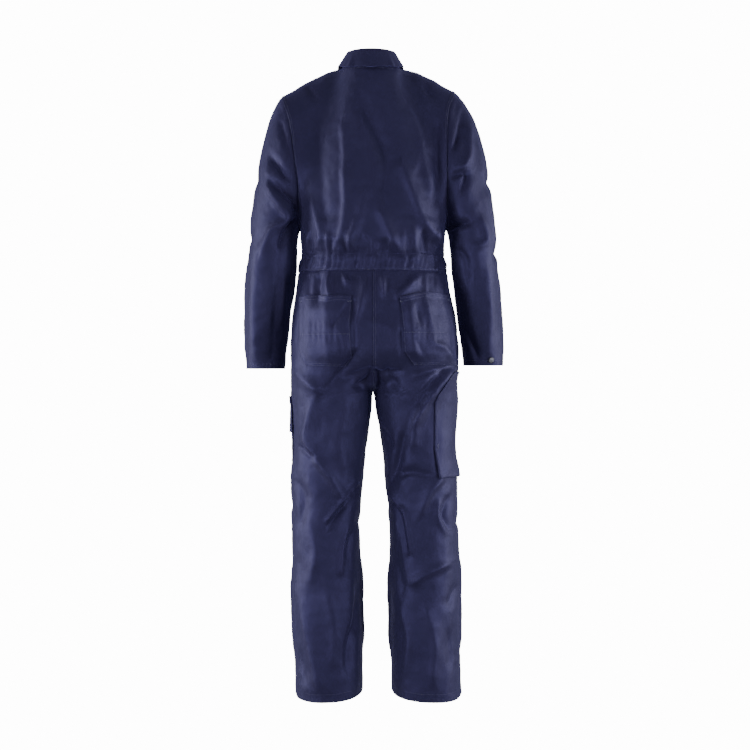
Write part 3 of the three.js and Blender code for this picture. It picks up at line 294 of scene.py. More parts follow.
def line_through(table, key, column):
    """A smooth line through one column of a table, level wherever the column turns back."""
    rows = sorted(table, key=lambda row: row[key])
    x = np.array([row[key] for row in rows], float)
    y = np.array([row[column] for row in rows], float)
    slope = np.diff(y) / np.diff(x)
    turn = np.empty(len(x))
    turn[0], turn[-1] = slope[0], slope[-1]
    product = slope[:-1] * slope[1:]
    total = np.where(product > 0, slope[:-1] + slope[1:], 1)
    turn[1:-1] = np.where(product > 0, 2 * product / total, 0)

    def at(place):
        place = np.clip(np.asarray(place, float), x[0], x[-1])
        i = np.clip(np.searchsorted(x, place, side="right") - 1, 0, len(x) - 2)
        step = x[i + 1] - x[i]
        f = (place - x[i]) / step
        return (
            y[i] * (1 + 2 * f) * (1 - f) ** 2
            + step * turn[i] * f * (1 - f) ** 2
            + y[i + 1] * f * f * (3 - 2 * f)
            + step * turn[i + 1] * f * f * (f - 1)
        )

    return at


def mix(a, b, f):
    return a + (b - a) * f


def ease(start, end, x):
    f = np.clip((np.asarray(x, float) - start) / (end - start), 0, 1)
    return f * f * (3 - 2 * f)


def rounded(value, power):
    return np.sign(value) * np.abs(value) ** power


def stack(x, y, z):
    return np.stack(np.broadcast_arrays(x, y, z), axis=-1)


def hermite(start, start_pull, end, end_pull, f):
    f = f[..., None]
    return (
        start * (1 + 2 * f) * (1 - f) ** 2
        + start_pull * f * (1 - f) ** 2
        + end * f * f * (3 - 2 * f)
        + end_pull * f * f * (f - 1)
    )


def side_name(side):
    return "left" if side < 0 else "right"


def face_name(face):
    return "back" if face < 0 else "front"


def body_point(side, face, across, z):
    """A place on the body's quarter ring, from the side seam at 0 to the centre at 1."""
    angle = across * math.pi / 2
    power = line_through(BODY, "z", "power")(z)
    half_width = line_through(BODY, "z", side_name(side))(z)
    half_depth = line_through(BODY, "z", face_name(face))(z)
    x = side * half_width * rounded(np.cos(angle), power)
    y = face * half_depth * rounded(np.sin(angle), power)
    return stack(np.where(across >= 1, 0, x), y, z)


def leg_point(side, face, across, z):
    """A place on a leg's half ring, from the side seam at 0 to the inside seam at 1."""
    angle = across * math.pi
    outer = line_through(LEG, "z", side_name(side) + "_out")(z)
    inner = line_through(LEG, "z", side_name(side) + "_in")(z)
    half_depth = line_through(LEG, "z", face_name(face))(z)
    x = side * ((outer + inner) / 2 + (outer - inner) / 2 * rounded(np.cos(angle), LEG_POWER))
    y = face * half_depth * rounded(np.maximum(np.sin(angle), 0), LEG_POWER)
    return stack(x, y, z)


def trouser_point(side, face, across, z):
    """The seat: the body's quarter turns into the leg's half round a U-shaped crotch seam."""
    depth = np.clip((SEAT_Z - z) / (SEAT_Z - CROTCH_Z), 0, 1)
    at_crotch = 1 - np.sqrt(1 - depth * depth)
    share = mix(ease(0, 1, depth), at_crotch, across**3)[..., None]
    return mix(body_point(side, face, across, z), leg_point(side, face, across, z), share)


def armhole_point(side, face, up):
    """The armhole, from the armpit at 0 to the shoulder at 1."""
    table = ARMHOLE[side_name(side)]
    top = table[0]["z"]
    z = (top + ARMPIT_Z) / 2 - (top - ARMPIT_Z) / 2 * np.cos(up * math.pi)
    x = side * line_through(table, "z", "x")(z)
    y = face * ARMHOLE_HALF_DEPTH * np.sin(up * math.pi) + SHOULDER_Y * up
    return stack(x, y, z)


def shoulder_point(side, inward):
    """The shoulder seam, from the armhole at 0 to the neck at 1."""
    table = SHOULDER[side_name(side)]
    x = mix(table[0]["x"], table[-1]["x"], inward)
    return stack(side * x, SHOULDER_Y, line_through(table, "x", "z")(x))


def neck_point(side, face, turn):
    """The neck seam, from the shoulder at 0 to the centre at 1."""
    angle = turn * math.pi / 2
    dip = np.sin(angle)
    if face < 0:
        x = NECK_X + side * NECK_HALF_WIDTH * np.cos(angle)
        return stack(x, SHOULDER_Y - NECK_BACK_DEPTH * dip, mix(NECK_SIDE_Z, NECK_BACK_Z, dip))
    x = NECK_X * (1 - dip) + side * NECK_HALF_WIDTH * np.cos(angle)
    z = NECK_SIDE_Z - NECK_FRONT_DROP * np.maximum(dip, 0) ** 1.7
    return stack(x, SHOULDER_Y + NECK_FRONT_DEPTH * dip, z)


def yoke_point(side, face, across, up):
    """The bodice above the armpit: each column bends from the chest over to the shoulder or the neck."""
    share = BACK_SHOULDER_SHARE if face < 0 else FRONT_SHOULDER_SHARE
    turn = np.clip((across - share) / (1 - share), 0, 1)
    on_shoulder = (across <= share)[..., None]
    top = np.where(on_shoulder, shoulder_point(side, np.minimum(across / share, 1)), neck_point(side, face, turn))
    chest = body_point(side, face, across, np.full_like(across, ARMPIT_Z))
    to_neck = ease(0, 1, turn)
    nothing = np.zeros_like(across)
    end_pull = stack(nothing, -face * mix(150, 120, to_neck), mix(60, 300, to_neck))
    chest_pull = stack(nothing, nothing, (top[..., 2] - chest[..., 2]) * 1.05)
    point = hermite(chest, chest_pull, top, end_pull, up)
    edge_chest = body_point(side, face, nothing, np.full_like(across, ARMPIT_Z))
    edge_top = shoulder_point(side, nothing)
    edge_pull = stack(nothing, nothing, (edge_top[..., 2] - edge_chest[..., 2]) * 1.05)
    edge = hermite(edge_chest, edge_pull, edge_top, stack(nothing, nothing - face * 150, nothing + 60), up)
    near_arm = np.clip(1 - across / 0.72, 0, 1) ** 2
    return point + (armhole_point(side, face, up) - edge) * near_arm[..., None]


def sleeve_ring(side, turn, z):
    """A place on a sleeve, from the armpit at 0, back, over the outside at 0.5, and front to 1."""
    angle = turn * 2 * math.pi
    outer = line_through(SLEEVE, "z", side_name(side) + "_out")(z)
    inner = line_through(SLEEVE, "z", side_name(side) + "_in")(z)
    depth = line_through(SLEEVE, "z", "depth")(z)
    x = side * ((outer + inner) / 2 - (outer - inner) / 2 * rounded(np.cos(angle), SLEEVE_POWER))
    y = line_through(SLEEVE, "z", "forward")(z) - depth * rounded(np.sin(angle), SLEEVE_POWER)
    return stack(x, y, z)


def sleeve_cap(side, face, turn, down):
    """The top of a sleeve, from the armhole at 0 to the free ring at 1."""
    up = turn * 2 if face < 0 else 2 - turn * 2
    start = armhole_point(side, face, up)
    end = sleeve_ring(side, turn, np.full_like(turn, SLEEVE_FREE_Z))
    reach = np.linalg.norm(start - end, axis=-1)
    bow = np.sin(up * math.pi)
    full = CAP_FULLNESS[side_name(side)]
    start_pull = stack(side * reach * mix(0.14, full, up), face * reach * 0.3 * bow, -reach * mix(0.9, 0.54, up))
    end_pull = stack(side * 0.08 * reach, 0 * reach, -reach)
    return hermite(start, start_pull, end, end_pull, down)


# Panels are grids of places, rows by columns by three, in millimetres
panels = {}


def lengths_along(points, axis):
    """Distances along a grid's rows or columns, from the first place on."""
    steps = np.linalg.norm(np.diff(points, axis=axis), axis=-1)
    start = np.zeros_like(np.take(steps, [0], axis=axis))
    return np.concatenate([start, np.cumsum(steps, axis=axis)], axis=axis)


def stations(total, count, from_start=(), from_end=()):
    """Distances from an edge: set ones for seams and hems at both ends, and even cells between."""
    total = np.atleast_1d(total)[:, None]
    start = np.broadcast_to(np.array([0, *from_start], float), (len(total), len(from_start) + 1))
    end = total - np.array([*reversed(from_end), 0], float)
    share = np.linspace(0, 1, count + 1)[1:-1]
    middle = mix(start[:, -1:], end[:, :1], share[None, :])
    return np.concatenate([start, middle, end], axis=1)


SEAM = (1, SEAM_WIDTH - 1, SEAM_WIDTH + 0.6)
HEM_WIDTH = 20
LEG_HEM = (1.2, HEM_WIDTH - 1, HEM_WIDTH + 1)
CUFF_WIDTH = 12
CUFF_HEM = (1.2, CUFF_WIDTH - 1, CUFF_WIDTH + 1)


def panel_rows(point_at, low, high, middle, from_start, from_end):
    """Row places, spaced by cloth length down one column of the panel."""
    fine = np.linspace(low, high, 900)
    column = point_at(np.full((900, 1), middle), fine[:, None])[:, 0]
    length = lengths_along(column, 0)
    count = round(length[-1] / CELL)
    return np.interp(stations(length[-1], count, from_start, from_end)[0], length, fine)


def panel_grid(point_at, rows, from_start, from_end):
    """A grid whose columns are spaced by cloth length across each of its rows."""
    fine = np.linspace(0, 1, 361)
    dense = point_at(np.tile(fine, (len(rows), 1)), np.tile(rows[:, None], (1, 361)))
    length = lengths_along(dense, 1)
    count = round(length[:, -1].max() / CELL)
    place = stations(length[:, -1], count, from_start, from_end)
    across = np.array([np.interp(place[r], length[r], fine) for r in range(len(rows))])
    across[:, 0], across[:, -1] = 0, 1
    return point_at(across, np.tile(rows[:, None], (1, across.shape[1]))), across, place


def hem_shift(face, across, z):
    shape = -HEM_BACK_DROP if face < 0 else HEM_FRONT_RISE
    line = HEM_IN_RISE * across + shape * np.sin(across**HEM_SKEW * math.pi)
    return line * ease(-1400, HEM_SIDE_Z, z)


def trouser_surface(side, face):
    def point_at(across, z):
        return trouser_point(side, face, across, z) + stack(0, 0, hem_shift(face, across, z))

    return point_at


def bodice_surface(side, face, low_z):
    def point_at(across, v):
        z = mix(low_z, ARMPIT_Z, np.minimum(v, 1))
        low = body_point(side, face, across, z)
        high = yoke_point(side, face, across, np.clip(v - 1, 0, 1))
        return np.where((v <= 1)[..., None], low, high)

    return point_at


def sleeve_surface(side, face):
    """One half of a sleeve, from the seam under the arm at 0 to the seam along its outside at 1."""
    cuff = CUFF_Z[side_name(side)]

    def point_at(across, v):
        turn = across / 2 if face < 0 else 1 - across / 2
        high = sleeve_cap(side, face, turn, np.minimum(v, 1))
        low = sleeve_ring(side, turn, mix(SLEEVE_FREE_Z, cuff, np.clip(v - 1, 0, 1)))
        return np.where((v <= 1)[..., None], high, low)

    return point_at


def body_axis(points):
    return points * [0, 0, 1]


def leg_axis(side):
    def axis(points):
        z = points[..., 2]
        outer = line_through(LEG, "z", side_name(side) + "_out")(z)
        inner = line_through(LEG, "z", side_name(side) + "_in")(z)
        return stack(side * (outer + inner) / 2 * ease(SEAT_Z, CROTCH_Z, z), 0, z)

    return axis


def sleeve_axis(side):
    def axis(points):
        z = np.minimum(points[..., 2], SLEEVE_FREE_Z + 200)
        outer = line_through(SLEEVE, "z", side_name(side) + "_out")(z)
        inner = line_through(SLEEVE, "z", side_name(side) + "_in")(z)
        return stack(side * (outer + inner) / 2, 0, z)

    return axis


def outward_of(points, axis):
    """Unit normals of a grid, turned away from the axis of the limb that it goes round."""
    normal = np.cross(np.gradient(points, axis=1), np.gradient(points, axis=0))
    normal /= np.maximum(np.linalg.norm(normal, axis=-1, keepdims=True), 1e-9)
    if np.sum(normal * (points - axis(points))) < 0:
        normal = -normal
    return normal


def add_panel(name, zone, points, axis, **facts):
    panels[name] = dict(name=name, zone=zone, base=points, normal=outward_of(points, axis), **facts)


TROUSER_ROWS = panel_rows(trouser_surface(-1, -1), WAIST_SEAM_Z, HEM_SIDE_Z, 0, SEAM, LEG_HEM)
for side in (-1, 1):
    for face in (-1, 1):
        grid, across, place = panel_grid(trouser_surface(side, face), TROUSER_ROWS, SEAM, SEAM)
        add_panel(
            f"{face_name(face)}_leg_{side_name(side)}",
            "body",
            grid,
            leg_axis(side),
            side=side,
            face=face,
            place=place,
        )

def soften_neck_corner(points, rows, corner):
    """Takes the crease out of the cloth below the corner where the shoulder seam meets the neck."""
    up = np.clip(rows - 1, 0, 1)
    place = lengths_along(points, 1)
    place = place / place[:, -1:]
    for turn in range(90):
        weight = np.where(turn < 130 * (1 - up), 1.0, 0.0) * ease(0, 0.05, up)
        near = np.exp(-(((place - corner) / 0.26) ** 2)) * weight[:, None]
        middle = (points[:, :-2] + points[:, 2:]) / 2
        points[:, 1:-1] += (middle - points[:, 1:-1]) * (0.6 * near[:, 1:-1])[..., None]
    return points


# The back bodice is one panel, so its two halves meet at the centre back
surface = {side: bodice_surface(side, -1, CASING_TOP_Z) for side in (-1, 1)}
BODICE_ROWS = panel_rows(surface[-1], 0, 2, 0.4, SEAM, SEAM)
halves = [panel_grid(surface[side], BODICE_ROWS, SEAM, ()) for side in (-1, 1)]
for half in halves:
    soften_neck_corner(half[0], BODICE_ROWS, 0.6)
add_panel(
    "back_bodice",
    "body",
    np.concatenate([halves[0][0], halves[1][0][:, -2::-1]], axis=1),
    body_axis,
    side=0,
    face=-1,
    place=halves[0][2],
)


def casing_surface(side):
    def point_at(across, z):
        return body_point(side, -1, across, z)

    return point_at


CASING_ROWS = panel_rows(casing_surface(-1), WAIST_SEAM_Z, CASING_TOP_Z, 0.5, (1, 3), (1, 3))
halves = [panel_grid(casing_surface(side), CASING_ROWS, SEAM, ()) for side in (-1, 1)]
add_panel(
    "back_waist_casing",
    "body",
    np.concatenate([halves[0][0], halves[1][0][:, -2::-1]], axis=1),
    body_axis,
    side=0,
    face=-1,
    place=halves[0][2],
)

for side in (-1, 1):
    surface_here = bodice_surface(side, 1, WAIST_SEAM_Z)
    rows = panel_rows(surface_here, 0, 2, 0.4, SEAM, SEAM)
    grid, across, place = panel_grid(surface_here, rows, SEAM, ())
    soften_neck_corner(grid, rows, 0.68)
    add_panel(f"front_bodice_{side_name(side)}", "body", grid, body_axis, side=side, face=1, place=place)

for side in (-1, 1):
    rows = panel_rows(sleeve_surface(side, -1), 0, 2, 0.5, SEAM, CUFF_HEM)
    for face in (-1, 1):
        grid, across, place = panel_grid(sleeve_surface(side, face), rows, SEAM, SEAM)
        add_panel(
            f"{face_name(face)}_sleeve_{side_name(side)}",
            side_name(side),
            grid,
            sleeve_axis(side),
            side=side,
            face=face,
            place=place,
        )


def share_normals():
    """Places where panels meet get one normal, so that folds run on over a seam."""
    points = np.concatenate([panel["base"].reshape(-1, 3) for panel in panels.values()])
    normals = np.concatenate([panel["normal"].reshape(-1, 3) for panel in panels.values()])
    keys, group = np.unique(np.round(points * 20).astype(int), axis=0, return_inverse=True)
    group = group.ravel()
    total = np.zeros((len(keys), 3))
    np.add.at(total, group, normals)
    shared = total[group]
    shared /= np.maximum(np.linalg.norm(shared, axis=1, keepdims=True), 1e-9)
    start = 0
    for panel in panels.values():
        count = panel["base"].shape[0] * panel["base"].shape[1]
        panel["normal"] = shared[start : start + count].reshape(panel["base"].shape)
        start += count


share_normals()


def smooth_path(path, pieces=6):
    """A path with rounded corners through the given places."""
    p = np.array(path, float)
    p = np.concatenate([[2 * p[0] - p[1]], p, [2 * p[-1] - p[-2]]])
    out = []
    for i in range(1, len(p) - 2):
        for f in np.arange(pieces) / pieces:
            before, a, b, after = p[i - 1 : i + 3]
            out.append(
                0.5
                * (
                    2 * a
                    + (b - before) * f
                    + (2 * before - 5 * a + 4 * b - after) * f * f
                    + (3 * a - before - 3 * b + after) * f**3
                )
            )
    return np.array([*out, p[-2]])


def seen_places(points, view):
    """Across and height of each place as the eye sees it from one side."""
    nearer = {"back": -points[:, 1], "front": points[:, 1], "left": -points[:, 0], "right": points[:, 0]}[view]
    if view in ("left", "right"):
        return points[:, 1], points[:, 2]
    scale = EYE_DISTANCE / (EYE_DISTANCE - nearer)
    return points[:, 0] * scale, EYE_Z + (points[:, 2] - EYE_Z) * scale


FOLD_STRENGTH = 1.35


def fold_height(fold, points, normals):
    zone, view, path, width, depth, lean = fold
    towards = {
        "back": -normals[:, 1],
        "front": normals[:, 1],
        "left": -normals[:, 0],
        "right": normals[:, 0],
    }[view]
    across, height = seen_places(points, view)
    line = smooth_path(path)
    reach = 3.2 * width
    low, high = line.min(axis=0) - reach, line.max(axis=0) + reach
    near = (towards > 0) & (across > low[0]) & (across < high[0]) & (height > low[1]) & (height < high[1])
    lift = np.zeros(len(points))
    here = np.flatnonzero(near)
    if not len(here):
        return lift
    a, b = across[here], height[here]
    nearest = np.full(len(here), 1e9)
    signed = np.zeros(len(here))
    along = np.zeros(len(here))
    segment = np.diff(line, axis=0)
    length = np.linalg.norm(segment, axis=1)
    gone = np.concatenate([[0], np.cumsum(length)])
    for i, (dx, dz) in enumerate(segment):
        x, z = a - line[i, 0], b - line[i, 1]
        f = np.clip((x * dx + z * dz) / length[i] ** 2, 0, 1)
        distance = np.hypot(x - f * dx, z - f * dz)
        closer = distance < nearest
        nearest = np.where(closer, distance, nearest)
        signed = np.where(closer, np.sign(x * dz - z * dx), signed)
        along = np.where(closer, (gone[i] + f * length[i]) / gone[-1], along)
    wide = width * (1 - 0.55 * lean * signed)
    profile = np.exp(-((nearest / wide) ** 1.7))
    taper = mix(0.45, 1, np.sqrt(np.clip(4 * along * (1 - along), 0, 1)))
    lift[here] = FOLD_STRENGTH * depth * profile * taper * ease(0, 0.4, towards[here])
    return lift


# Short gathers run up and down from the waist casing
dice = random.Random(11)
gathers = []
x = -172
while x < 172:
    for down in (-1, 1):
        start = CASING_TOP_Z + 6 if down < 0 else WAIST_SEAM_Z - 2
        long = dice.uniform(18, 62) if down < 0 else dice.uniform(14, 52)
        end = start + long if down < 0 else start - long
        tilt = dice.uniform(-0.16, 0.16) * long
        strong = dice.choice([1.4, 2.2, 3.2, 4.2]) * (1 if down < 0 else 0.35)
        sign = dice.choice([1, 1, -1])
        width = dice.uniform(3.4, 6.2)
        gathers.append(("body", "back", [[x, start], [x + tilt * 0.6, (start + end) / 2], [x + tilt, end]],
                        width, sign * strong, dice.uniform(-0.4, 0.4)))
    x += dice.uniform(7, 15)


def soft_noise(points, size, stretch, seed):
    shift = Vector((seed * 17.3, seed * 5.1, seed * 9.7))
    scale = np.array([1 / size, 1 / size, 1 / (size * stretch)])
    return np.array([noise.noise(Vector(p) + shift) for p in points * scale])


def rumple(points):
    """The low unevenness of drill that has been worn and washed."""
    return (
        1.7 * soft_noise(points, 58, 1.5, 1)
        + 0.9 * soft_noise(points, 27, 1.3, 2)
        - 1.4 * np.abs(soft_noise(points, 40, 0.8, 3))
        - 1.0 * np.abs(soft_noise(points, 21, 1.5, 4))
    )


ARMHOLE_CURVES = {
    side: np.concatenate([armhole_point(side, face, np.linspace(0, 1, 70)) for face in (-1, 1)])
    for side in (-1, 1)
}


def off_armholes(points, reach):
    """0 at the armhole seams, 1 from reach millimetres away."""
    nearest = np.full(len(points), 1e9)
    for curve in ARMHOLE_CURVES.values():
        for start in range(0, len(points), 4000):
            part = points[start : start + 4000]
            distance = np.linalg.norm(part[:, None] - curve[None], axis=2).min(axis=1)
            nearest[start : start + 4000] = np.minimum(nearest[start : start + 4000], distance)
    return ease(0, reach, nearest)


for panel in panels.values():
    points = panel["base"].reshape(-1, 3)
    normals = panel["normal"].reshape(-1, 3)
    lift = rumple(points)
    for fold in FOLDS + gathers:
        if fold[0] == panel["zone"]:
            lift += fold_height(fold, points, normals)
    if "leg" not in panel["name"]:
        lift *= off_armholes(points, 24)
    panel["points"] = (points + normals * lift[:, None]).reshape(panel["base"].shape)


# Laid-on seam strips: the felled edge of one panel stands a little higher than the rest
def raise_strip(name, edge):
    """edge is start or end for the grid's first or last column, top or bottom for its rows."""
    panel = panels[name]
    points = panel["points"]
    if edge in ("start", "end"):
        distance = lengths_along(points if edge == "start" else points[:, ::-1], 1)
        distance = distance if edge == "start" else distance[:, ::-1]
    else:
        distance = lengths_along(points if edge == "top" else points[::-1], 0)
        distance = distance if edge == "top" else distance[::-1]
    height = SEAM_HEIGHT * (1 - ease(SEAM_WIDTH - 0.6, SEAM_WIDTH + 0.8, distance))
    panel["points"] = points + panel["normal"] * height[..., None]


def pucker(name, edge, amount=0.45, pitch=8.5):
    """The small waves that a stitched seam draws into the cloth beside it."""
    panel = panels[name]
    points = panel["points"]
    axis = 1 if edge in ("start", "end") else 0
    turned = edge in ("end", "bottom")
    order = np.flip(points, axis=axis) if turned else points
    distance = lengths_along(order, axis)
    distance = np.flip(distance, axis=axis) if turned else distance
    along = lengths_along(points, 1 - axis)
    wander = np.sin(along / 23 + 1.7) + 0.6 * np.sin(along / 9.1)
    wave = np.sin(along * 2 * math.pi / pitch + 1.4 * wander)
    band = ease(0, 3, distance) * (1 - ease(5, 22, distance))
    strength = 0.6 + 0.4 * np.sin(along / 41 + 0.8)
    panel["points"] = points + panel["normal"] * (amount * wave * band * strength)[..., None]


for side in (-1, 1):
    word = side_name(side)
    for edge in ("start", "end"):
        pucker(f"back_leg_{word}", edge)
        pucker(f"front_leg_{word}", edge)
    pucker(f"back_leg_{word}", "bottom", 0.5, 11)
    pucker(f"front_leg_{word}", "bottom", 0.5, 11)
    pucker(f"front_leg_{word}", "top")
    pucker(f"front_bodice_{word}", "start")
    pucker(f"front_bodice_{word}", "bottom")
    for face in ("back", "front"):
        pucker(f"{face}_sleeve_{word}", "top", 0.6, 10)
        pucker(f"{face}_sleeve_{word}", "bottom", 0.45, 9)
        pucker(f"{face}_sleeve_{word}", "end", 0.35, 9)
    raise_strip(f"back_leg_{word}", "start")
    raise_strip(f"back_sleeve_{word}", "end")
pucker("back_bodice", "start")
pucker("back_bodice", "end")
raise_strip("back_bodice", "start")
raise_strip("back_bodice", "end")
raise_strip("back_leg_right", "end")
raise_strip("front_leg_left", "end")


GATHER_PITCH = 13.5
GATHER_HEIGHT = 3.9


def gather_casing():
    """The casing is drawn up by elastic, so its cloth stands in uneven upright gathers."""
    panel = panels["back_waist_casing"]
    points = panel["points"]
    along = lengths_along(points, 1)
    up = lengths_along(points, 0)
    total = up[-1:, :]
    turn = along / GATHER_PITCH
    wave = np.sin(2 * math.pi * turn + 1.6 * np.sin(turn * 0.9) + 0.9 * np.sin(turn * 2.1 + up / 13))
    strength = 0.7 + 0.3 * np.sin(turn * 1.3 + 0.4)
    held = ease(0, 7, up) * ease(0, 7, total - up)
    rows = 0.55 + 0.45 * np.sin(up / total * math.pi)
    sides = ease(0, 22, along) * ease(0, 22, along[:, -1:] - along)
    lift = GATHER_HEIGHT * wave * strength * held * rows * sides
    panel["points"] = points + panel["normal"] * lift[..., None]


gather_casing()


def ditch(name, edge, depth=1.8, width=3.4):
    """The cloth dips into a seam that has no strip laid over it."""
    panel = panels[name]
    points = panel["points"]
    order = points if edge == "top" else points[::-1]
    distance = lengths_along(order, 0)
    distance = distance if edge == "top" else distance[::-1]
    sunk = depth * (1 - ease(0, width, distance))
    panel["points"] = points - panel["normal"] * sunk[..., None]


for word in ("left", "right"):
    ditch(f"back_leg_{word}", "top")
    ditch(f"front_leg_{word}", "top")
    ditch(f"front_bodice_{word}", "top" if panels[f"front_bodice_{word}"]["base"][0, 0, 2] < -480 else "bottom")
for word in ("left", "right"):
    for face in ("back", "front"):
        ditch(f"{face}_sleeve_{word}", "top", 1.5, 5)
ditch("back_waist_casing", "top" if panels["back_waist_casing"]["base"][0, 0, 2] < -480 else "bottom")


def colour(code):
    """An sRGB hex code as linear red, green, blue and alpha."""
    parts = [int(code[i : i + 2], 16) / 255 for i in (1, 3, 5)]
    return [c / 12.92 if c <= 0.04045 else ((c + 0.055) / 1.055) ** 2.4 for c in parts] + [1]


def new_material(name):
    material = bpy.data.materials.new(name)
    material.use_nodes = True
    tree = material.node_tree
    tree.nodes.clear()
    return material, tree


def node(tree, kind, settings=None, **inputs):
    """Adds a shader node. Each input is a value, or another node's output."""
    made = tree.nodes.new(kind)
    for key, value in (settings or {}).items():
        setattr(made, key, value)
    for key, value in inputs.items():
        place = int(key[1:]) if key[0] == "_" else key.replace("_", " ")
        socket = made.inputs[place]
        if isinstance(value, bpy.types.NodeSocket):
            tree.links.new(value, socket)
        else:
            socket.default_value = value
    return made


def math_node(tree, operation, first, second=0.0):
    return node(tree, "ShaderNodeMath", {"operation": operation}, _0=first, _1=second).outputs[0]


def drill_material(name, deep, light, roughness=0.48):
    """Navy cotton drill: a fine diagonal twill, with a soft sheen and low wear."""
    material, tree = new_material(name)
    uv = node(tree, "ShaderNodeUVMap", {"uv_map": "UVMap"}).outputs[0]
    place = node(tree, "ShaderNodeTexCoord").outputs["Object"]
    split = node(tree, "ShaderNodeSeparateXYZ", None, _0=uv)
    lean = math_node(tree, "ADD", split.outputs[0], math_node(tree, "MULTIPLY", split.outputs[1], 0.55))
    phase = math_node(tree, "MULTIPLY", lean, 2 * math.pi / 0.0011)
    twill = math_node(tree, "SINE", phase)
    cloudy = node(tree, "ShaderNodeTexNoise", None, Vector=place, Scale=9.0, Detail=5.0, Roughness=0.6)
    fine = node(tree, "ShaderNodeTexNoise", None, Vector=place, Scale=85.0, Detail=4.0, Roughness=0.65)
    fibre = node(tree, "ShaderNodeTexNoise", None, Vector=place, Scale=900.0, Detail=2.0, Roughness=0.6)
    blend = math_node(tree, "MULTIPLY_ADD", cloudy.outputs[0], 0.7)
    tree.nodes[-1].inputs[2].default_value = 0.05
    patch = math_node(tree, "ADD", blend, math_node(tree, "MULTIPLY", twill, 0.08))
    base = node(tree, "ShaderNodeMix", {"data_type": "RGBA"}, Factor=patch, _6=colour(deep), _7=colour(light))
    height = math_node(tree, "MULTIPLY", twill, 0.00004)
    crumple = math_node(tree, "MULTIPLY", fine.outputs[0], 0.0007)
    fuzz = math_node(tree, "MULTIPLY", fibre.outputs[0], 0.00012)
    relief = math_node(tree, "ADD", math_node(tree, "ADD", height, crumple), fuzz)
    bump = node(tree, "ShaderNodeBump", None, Height=relief, Strength=0.85, Distance=1.0)
    shader = node(
        tree,
        "ShaderNodeBsdfPrincipled",
        None,
        Base_Color=base.outputs[2],
        Roughness=roughness,
        Normal=bump.outputs[0],
    )
    shader.inputs["Sheen Weight"].default_value = 0.22
    shader.inputs["Sheen Roughness"].default_value = 0.45
    shader.inputs["Sheen Tint"].default_value = colour("#918EF0")
    shader.inputs["Specular IOR Level"].default_value = 0.42
    shader.inputs["Specular Tint"].default_value = colour("#A4A0FF")
    out = node(tree, "ShaderNodeOutputMaterial")
    tree.links.new(shader.outputs[0], out.inputs[0])
    return material


def plain_material(name, code, roughness, metallic=0.0, sheen=0.0):
    material, tree = new_material(name)
    shader = node(tree, "ShaderNodeBsdfPrincipled", None, Base_Color=colour(code), Roughness=roughness)
    shader.inputs["Metallic"].default_value = metallic
    shader.inputs["Sheen Weight"].default_value = sheen
    out = node(tree, "ShaderNodeOutputMaterial")
    tree.links.new(shader.outputs[0], out.inputs[0])
    return material


DRILL_CLOTH = drill_material("navy_drill", "#19172A", "#2A2742")
THREAD = plain_material("navy_thread", "#34365E", 0.55, 0, 0.2)
NICKEL = plain_material("nickel", "#4E4F57", 0.46, 1.0)


def link(mesh, name):
    thing = bpy.data.objects.new(name, mesh)
    bpy.context.scene.collection.objects.link(thing)
    return thing


def sheet_mesh(name, points, normals, uv):
    """A grid of quads through the given places, with its UV in metres of cloth."""
    rows, columns = points.shape[:2]
    bm = bmesh.new()
    bmesh.ops.create_grid(bm, x_segments=columns - 1, y_segments=rows - 1, size=1, calc_uvs=True)
    mesh = bpy.data.meshes.new(name)
    bm.to_mesh(mesh)
    bm.free()
    flat = np.empty(len(mesh.vertices) * 3)
    mesh.vertices.foreach_get("co", flat)
    flat = flat.reshape(-1, 3)
    column = np.rint((flat[:, 0] + 1) / 2 * (columns - 1)).astype(int)
    row = np.rint((flat[:, 1] + 1) / 2 * (rows - 1)).astype(int)
    places = points[row, column] * MM
    mesh.vertices.foreach_set("co", places.ravel())
    corner = np.empty(len(mesh.loops), dtype=np.int32)
    mesh.loops.foreach_get("vertex_index", corner)
    layer = mesh.uv_layers.active or mesh.uv_layers.new(name="UVMap")
    layer.name = "UVMap"
    layer.data.foreach_set("uv", (uv[row, column][corner] * MM).ravel())
    mesh.update()
    facing = np.empty(len(mesh.polygons) * 3)
    mesh.polygons.foreach_get("normal", facing)
    first = np.empty(len(mesh.polygons), dtype=np.int32)
    mesh.polygons.foreach_get("loop_start", first)
    wanted = normals[row, column][corner[first]]
    if np.sum(facing.reshape(-1, 3) * wanted) < 0:
        mesh.flip_normals()
    mesh.shade_smooth()
    return mesh


def thicken(thing, thickness):
    solid = thing.modifiers.new("cloth", "SOLIDIFY")
    solid.thickness = thickness * MM
    solid.offset = -1
    solid.use_rim = True
    solid.use_quality_normals = True


def cloth_uv(points, centre_column=0):
    across = lengths_along(points, 1)
    across = across - across[:, centre_column : centre_column + 1]
    up = lengths_along(points, 0)[:, centre_column : centre_column + 1]
    return np.stack(np.broadcast_arrays(across, up), axis=-1)


def area_of(points):
    a = points[1:, 1:] - points[:-1, :-1]
    b = points[1:, :-1] - points[:-1, 1:]
    return float(np.linalg.norm(np.cross(a, b), axis=-1).sum() / 2)


def make_cloth(name, points, normals, replaced, thickness=DRILL, cut=None, centre=0):
    """One cut piece of cloth as a thin shell. The width, length and area of the flat sheet that it was cut as are
    worked out, but nothing uses them.
    """
    mesh = sheet_mesh(name, points, normals, cloth_uv(points, centre))
    thing = link(mesh, name)
    thicken(thing, thickness)
    mesh.materials.append(DRILL_CLOTH)
    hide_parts(*replaced)
    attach(thing, "root")
    flat = points if cut is None else cut
    width = float(lengths_along(flat, 1)[:, -1].max()) * MM
    length = float(lengths_along(flat, 0)[-1].max()) * MM
    area = min(area_of(flat) * MM * MM, width * length)
    return thing


